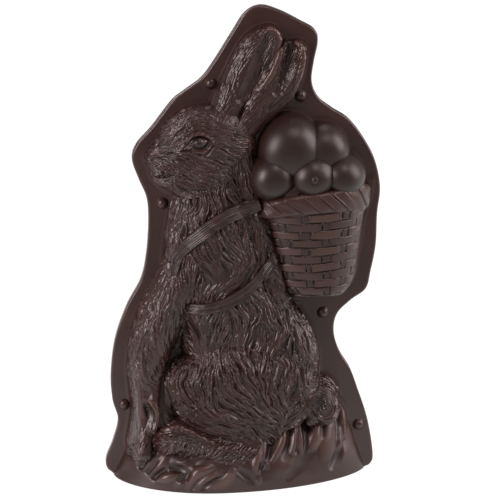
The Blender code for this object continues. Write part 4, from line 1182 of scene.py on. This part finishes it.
x, y, z = pushed(x, -height + 0 * tall, z, band)
y = y + 2.6 * (1 - bulge)
# The lashings' cuts are painted darker and their lips lighter: painted shade and painted highlight
cast("basket_rim", *backed(x, np.minimum(y, SKIN_EDGE), z), weave_chocolate,
     rise=edged(np.clip(0.6 - 0.6 * cut + 0.2 * lip, 0, 1)))

# Five smooth eggs lie in the basket, polished by the mould. They are pressed together, so that only a thin
# crease parts them, and the lowest go down behind the rim. A bed fills what lies between them.

# Middle x and z, half width, half height, crest
EGGS = [
    (28.5, 198.4, 20.2, 20.0, 25.5), (47.6, 197, 15.8, 15.6, 21.5), (58, 182.5, 14.6, 13.6, 25),
    (18.2, 182.5, 16, 15.8, 26.5), (40.8, 183.5, 16.2, 15.1, 28)]
EGG_LEVEL = 3.0
EGG_BED = [
    (12, 175, 6, 9), (22, 175, 7, 20), (30, 175.5, 7, 23.5), (36, 184, 9, 18), (50, 187, 8, 17),
    (58, 184, 7, 12)]
egg_chocolate = chocolate("egg_chocolate", roughness=0.42, grain=0.006)


def egg(egg_x, egg_z, half_x, half_z, crest):
    """An egg standing out of the bed: an oval, a little pointed at the top, whose height over the level at
    which the eggs meet is (1 - u^2.3)^(1/2.3), and beyond it a drafted wall down to the flange."""
    out = np.concatenate([np.sin(np.linspace(0.01, math.pi / 2, 60)), np.linspace(1.01, 1.24, 8)])[:, None]
    turn = np.linspace(0, 2 * math.pi, 160, endpoint=False)[None, :]
    climb = out * np.sin(turn)
    x = egg_x + half_x * out * np.cos(turn) * (1 - 0.07 * climb)
    z = egg_z + half_z * climb
    height = EGG_LEVEL + (crest - EGG_LEVEL) * np.maximum(1 - out ** 2.3, 0) ** (1 / 2.3)
    return x, height - WALL_SLOPE * min(half_x, half_z) * np.maximum(out - 1, 0) + 0 * turn, z


for number, size in enumerate(EGGS, 1):
    x, height, z = egg(*size)
    # The first has a small pip at its top, and the last a round mark in its middle
    if number == 1:
        height = height + 0.9 * hill(x, z, 28, 217, 1.1, 1.1)
    if number == 5:
        spot = np.hypot((x - 40.9) / 1.3, (z - 184.3) / 1.5)
        height = height + 0.5 * np.exp(-spot ** 2) - 0.3 * np.exp(-((spot - 1.5) / 0.4) ** 2)
    # The eggs are painted dark, mostly in the hollow's painted shade
    cast("egg_%d" % number, x, -np.maximum(height, -2.5), z, egg_chocolate, rise=0.1)
# The bed between the eggs is painted dark too, as painted shade in the creases
filler("egg_bed", EGG_BED, fullness=2.5, pitch=0.8, rise=0.2)

# The flange is the flat rim left round the figure where the two halves of the mould met, and it backs the
# whole casting. Its front edge is rounded, its outline slightly uneven, and a low step follows the figure.
FLANGE = [
    (-74.5, 0), (-78.6, 3.5), (-79.2, 9.6), (-75.0, 20.7), (-71.9, 33.8), (-75.0, 46.3), (-75.7, 62.5),
    (-73.0, 83.3), (-66.0, 103.3), (-57.4, 119.8), (-54.0, 136.4), (-52.7, 155.6), (-53.7, 168.8),
    (-58.2, 180.2), (-61.8, 191.6), (-59.1, 200.4), (-50.4, 210.2), (-39.1, 224.9), (-32.2, 230.6),
    (-21.8, 238.3), (-14.4, 248.1), (-4.0, 264.7), (3.5, 275.9), (12.5, 280.0), (23.3, 276.9), (34.8, 270.9),
    (43.4, 265.6), (45.2, 258.6), (43.0, 247.0), (41.9, 235.3), (46.0, 225.8), (54.1, 219.2), (63.5, 212.8),
    (72.3, 201.4), (78.9, 188.4), (82.2, 172.0), (80.7, 156.0), (80.1, 137.3), (77.3, 121.5), (74.5, 110.6),
    (65.7, 103.8), (57.8, 95.7), (55.8, 85.3), (58.9, 73.4), (65.9, 61.1), (70.8, 47.5), (75.4, 33.6),
    (78.3, 20.3), (80.0, 6.5), (78.5, 1.6), (75.0, 0)]
LEDGE_HEIGHT = 0.4
LEDGE_WIDTH = 1.4
LEDGE_SLOPE = 1.3
RIM_TOP = 178.0
EDGE_ROUNDING = 1.5
BACK_ROUNDING = 0.4
# The line up the middle of the flange towards which its faces are drawn in: heights, and x at each
SPINE_Z, SPINE_X = (18, 110, 262), (0, 10, 18)
# Share of the way from the rim to the spine at which each ring of the front lies
FRONT_SHARES = np.concatenate([np.linspace(0.008, 0.5, 66), np.linspace(0.55, 0.97, 7)])
sides = through(FLANGE, 12)
sides[:, 1] = np.maximum(sides[:, 1], 0)
underside = np.linspace(FLANGE[-1][0], FLANGE[0][0], 120)[1:-1]
loop = np.vstack([sides, np.stack([underside, np.zeros(len(underside))], 1)])
ahead, behind = np.roll(loop, -1, 0), np.roll(loop, 1, 0)
inward = np.stack([(ahead - behind)[:, 1], (behind - ahead)[:, 0]], 1)
inward /= np.hypot(*inward.T)[:, None] + 1e-9
round_off = np.clip(loop[:, 1] / 1.5, 0, 1)
spine = np.stack([np.interp(loop[:, 1], SPINE_Z, SPINE_X), np.clip(loop[:, 1], SPINE_Z[0], SPINE_Z[-1])], 1)
bend = np.linspace(0, math.pi / 2, 7)
rows = [(spine + (loop - spine) * share, FLANGE_THICKNESS) for share in (0.05, 0.92)]
for a in bend:
    rows.append((loop + inward * (BACK_ROUNDING * round_off * (1 - math.sin(a)))[:, None],
                 FLANGE_THICKNESS - BACK_ROUNDING * round_off * (1 - math.cos(a))))
for a in bend:
    rows.append((loop + inward * (EDGE_ROUNDING * round_off * (1 - math.cos(a)))[:, None],
                 EDGE_ROUNDING * round_off * (1 - math.sin(a))))
rim = rows[-1][0]
for share in FRONT_SHARES:
    rows.append((rim + (spine - rim) * share, 0.0))
x = np.array([row[0][:, 0] for row in rows])
z = np.array([row[0][:, 1] for row in rows])
y = np.array([np.broadcast_to(row[1], len(loop)) for row in rows])
in_cup = np.minimum(cup_radius(clay.board.z) - np.abs(clay.board.x - BASKET_X - 1.3),
                    np.minimum(clay.board.z - BASKET_BOTTOM, RIM_TOP - clay.board.z))
inside = np.maximum(clay.inside, in_cup)
for egg_x, egg_z, half_x, half_z, _ in EGGS:
    u = np.hypot((clay.board.x - egg_x) / half_x, (clay.board.z - egg_z) / half_z)
    inside = np.maximum(inside, (1 - u) * min(half_x, half_z))
ledge = np.clip((clay.board.read(inside, x, z) + LEDGE_WIDTH) / LEDGE_SLOPE, 0, 1)
ledge = LEDGE_HEIGHT * ledge * ledge * (3 - 2 * ledge)
# The step and a slight waviness are on the flat of the front alone
front = np.arange(len(rows))[:, None] > len(rows) - len(FRONT_SHARES)
y = np.where(front, y - ledge - 0.06 * ripple(x, z, 30, 41), y)
plate_chocolate = chocolate("plate_chocolate", roughness=0.34, grain=0.01)
cast("flange", x, y, z, plate_chocolate, rise=0.55)

# Six round bosses stand on the flange, of one piece with it. They come from the pits that keep the two
# halves of the mould in register.
BOSSES = [(-16.2, 235.6), (35.2, 227.3), (-44.4, 165.4), (49.1, 97.0), (-68.0, 43.5), (70.8, 26.7)]
BOSS_RADIUS = 3.1
BOSS_HEIGHT = 2.6
# A boss is half an ellipsoid whose foot flares out into the flange
climb = np.linspace(-0.4, math.pi / 2 - 0.04, 26)[:, None]
turn = np.linspace(0, 2 * math.pi, 64, endpoint=False)[None, :]
radius = BOSS_RADIUS * np.cos(climb) + 0.5 * np.exp(-np.maximum(climb, 0) / 0.12)
y = -BOSS_HEIGHT * np.sin(climb) + 0 * turn
for number, (boss_x, boss_z) in enumerate(BOSSES, 1):
    x = boss_x + radius * np.cos(turn)
    z = boss_z + radius * np.sin(turn)
    cast("boss_%d" % number, x, y, z, plate_chocolate, rise=0.55)
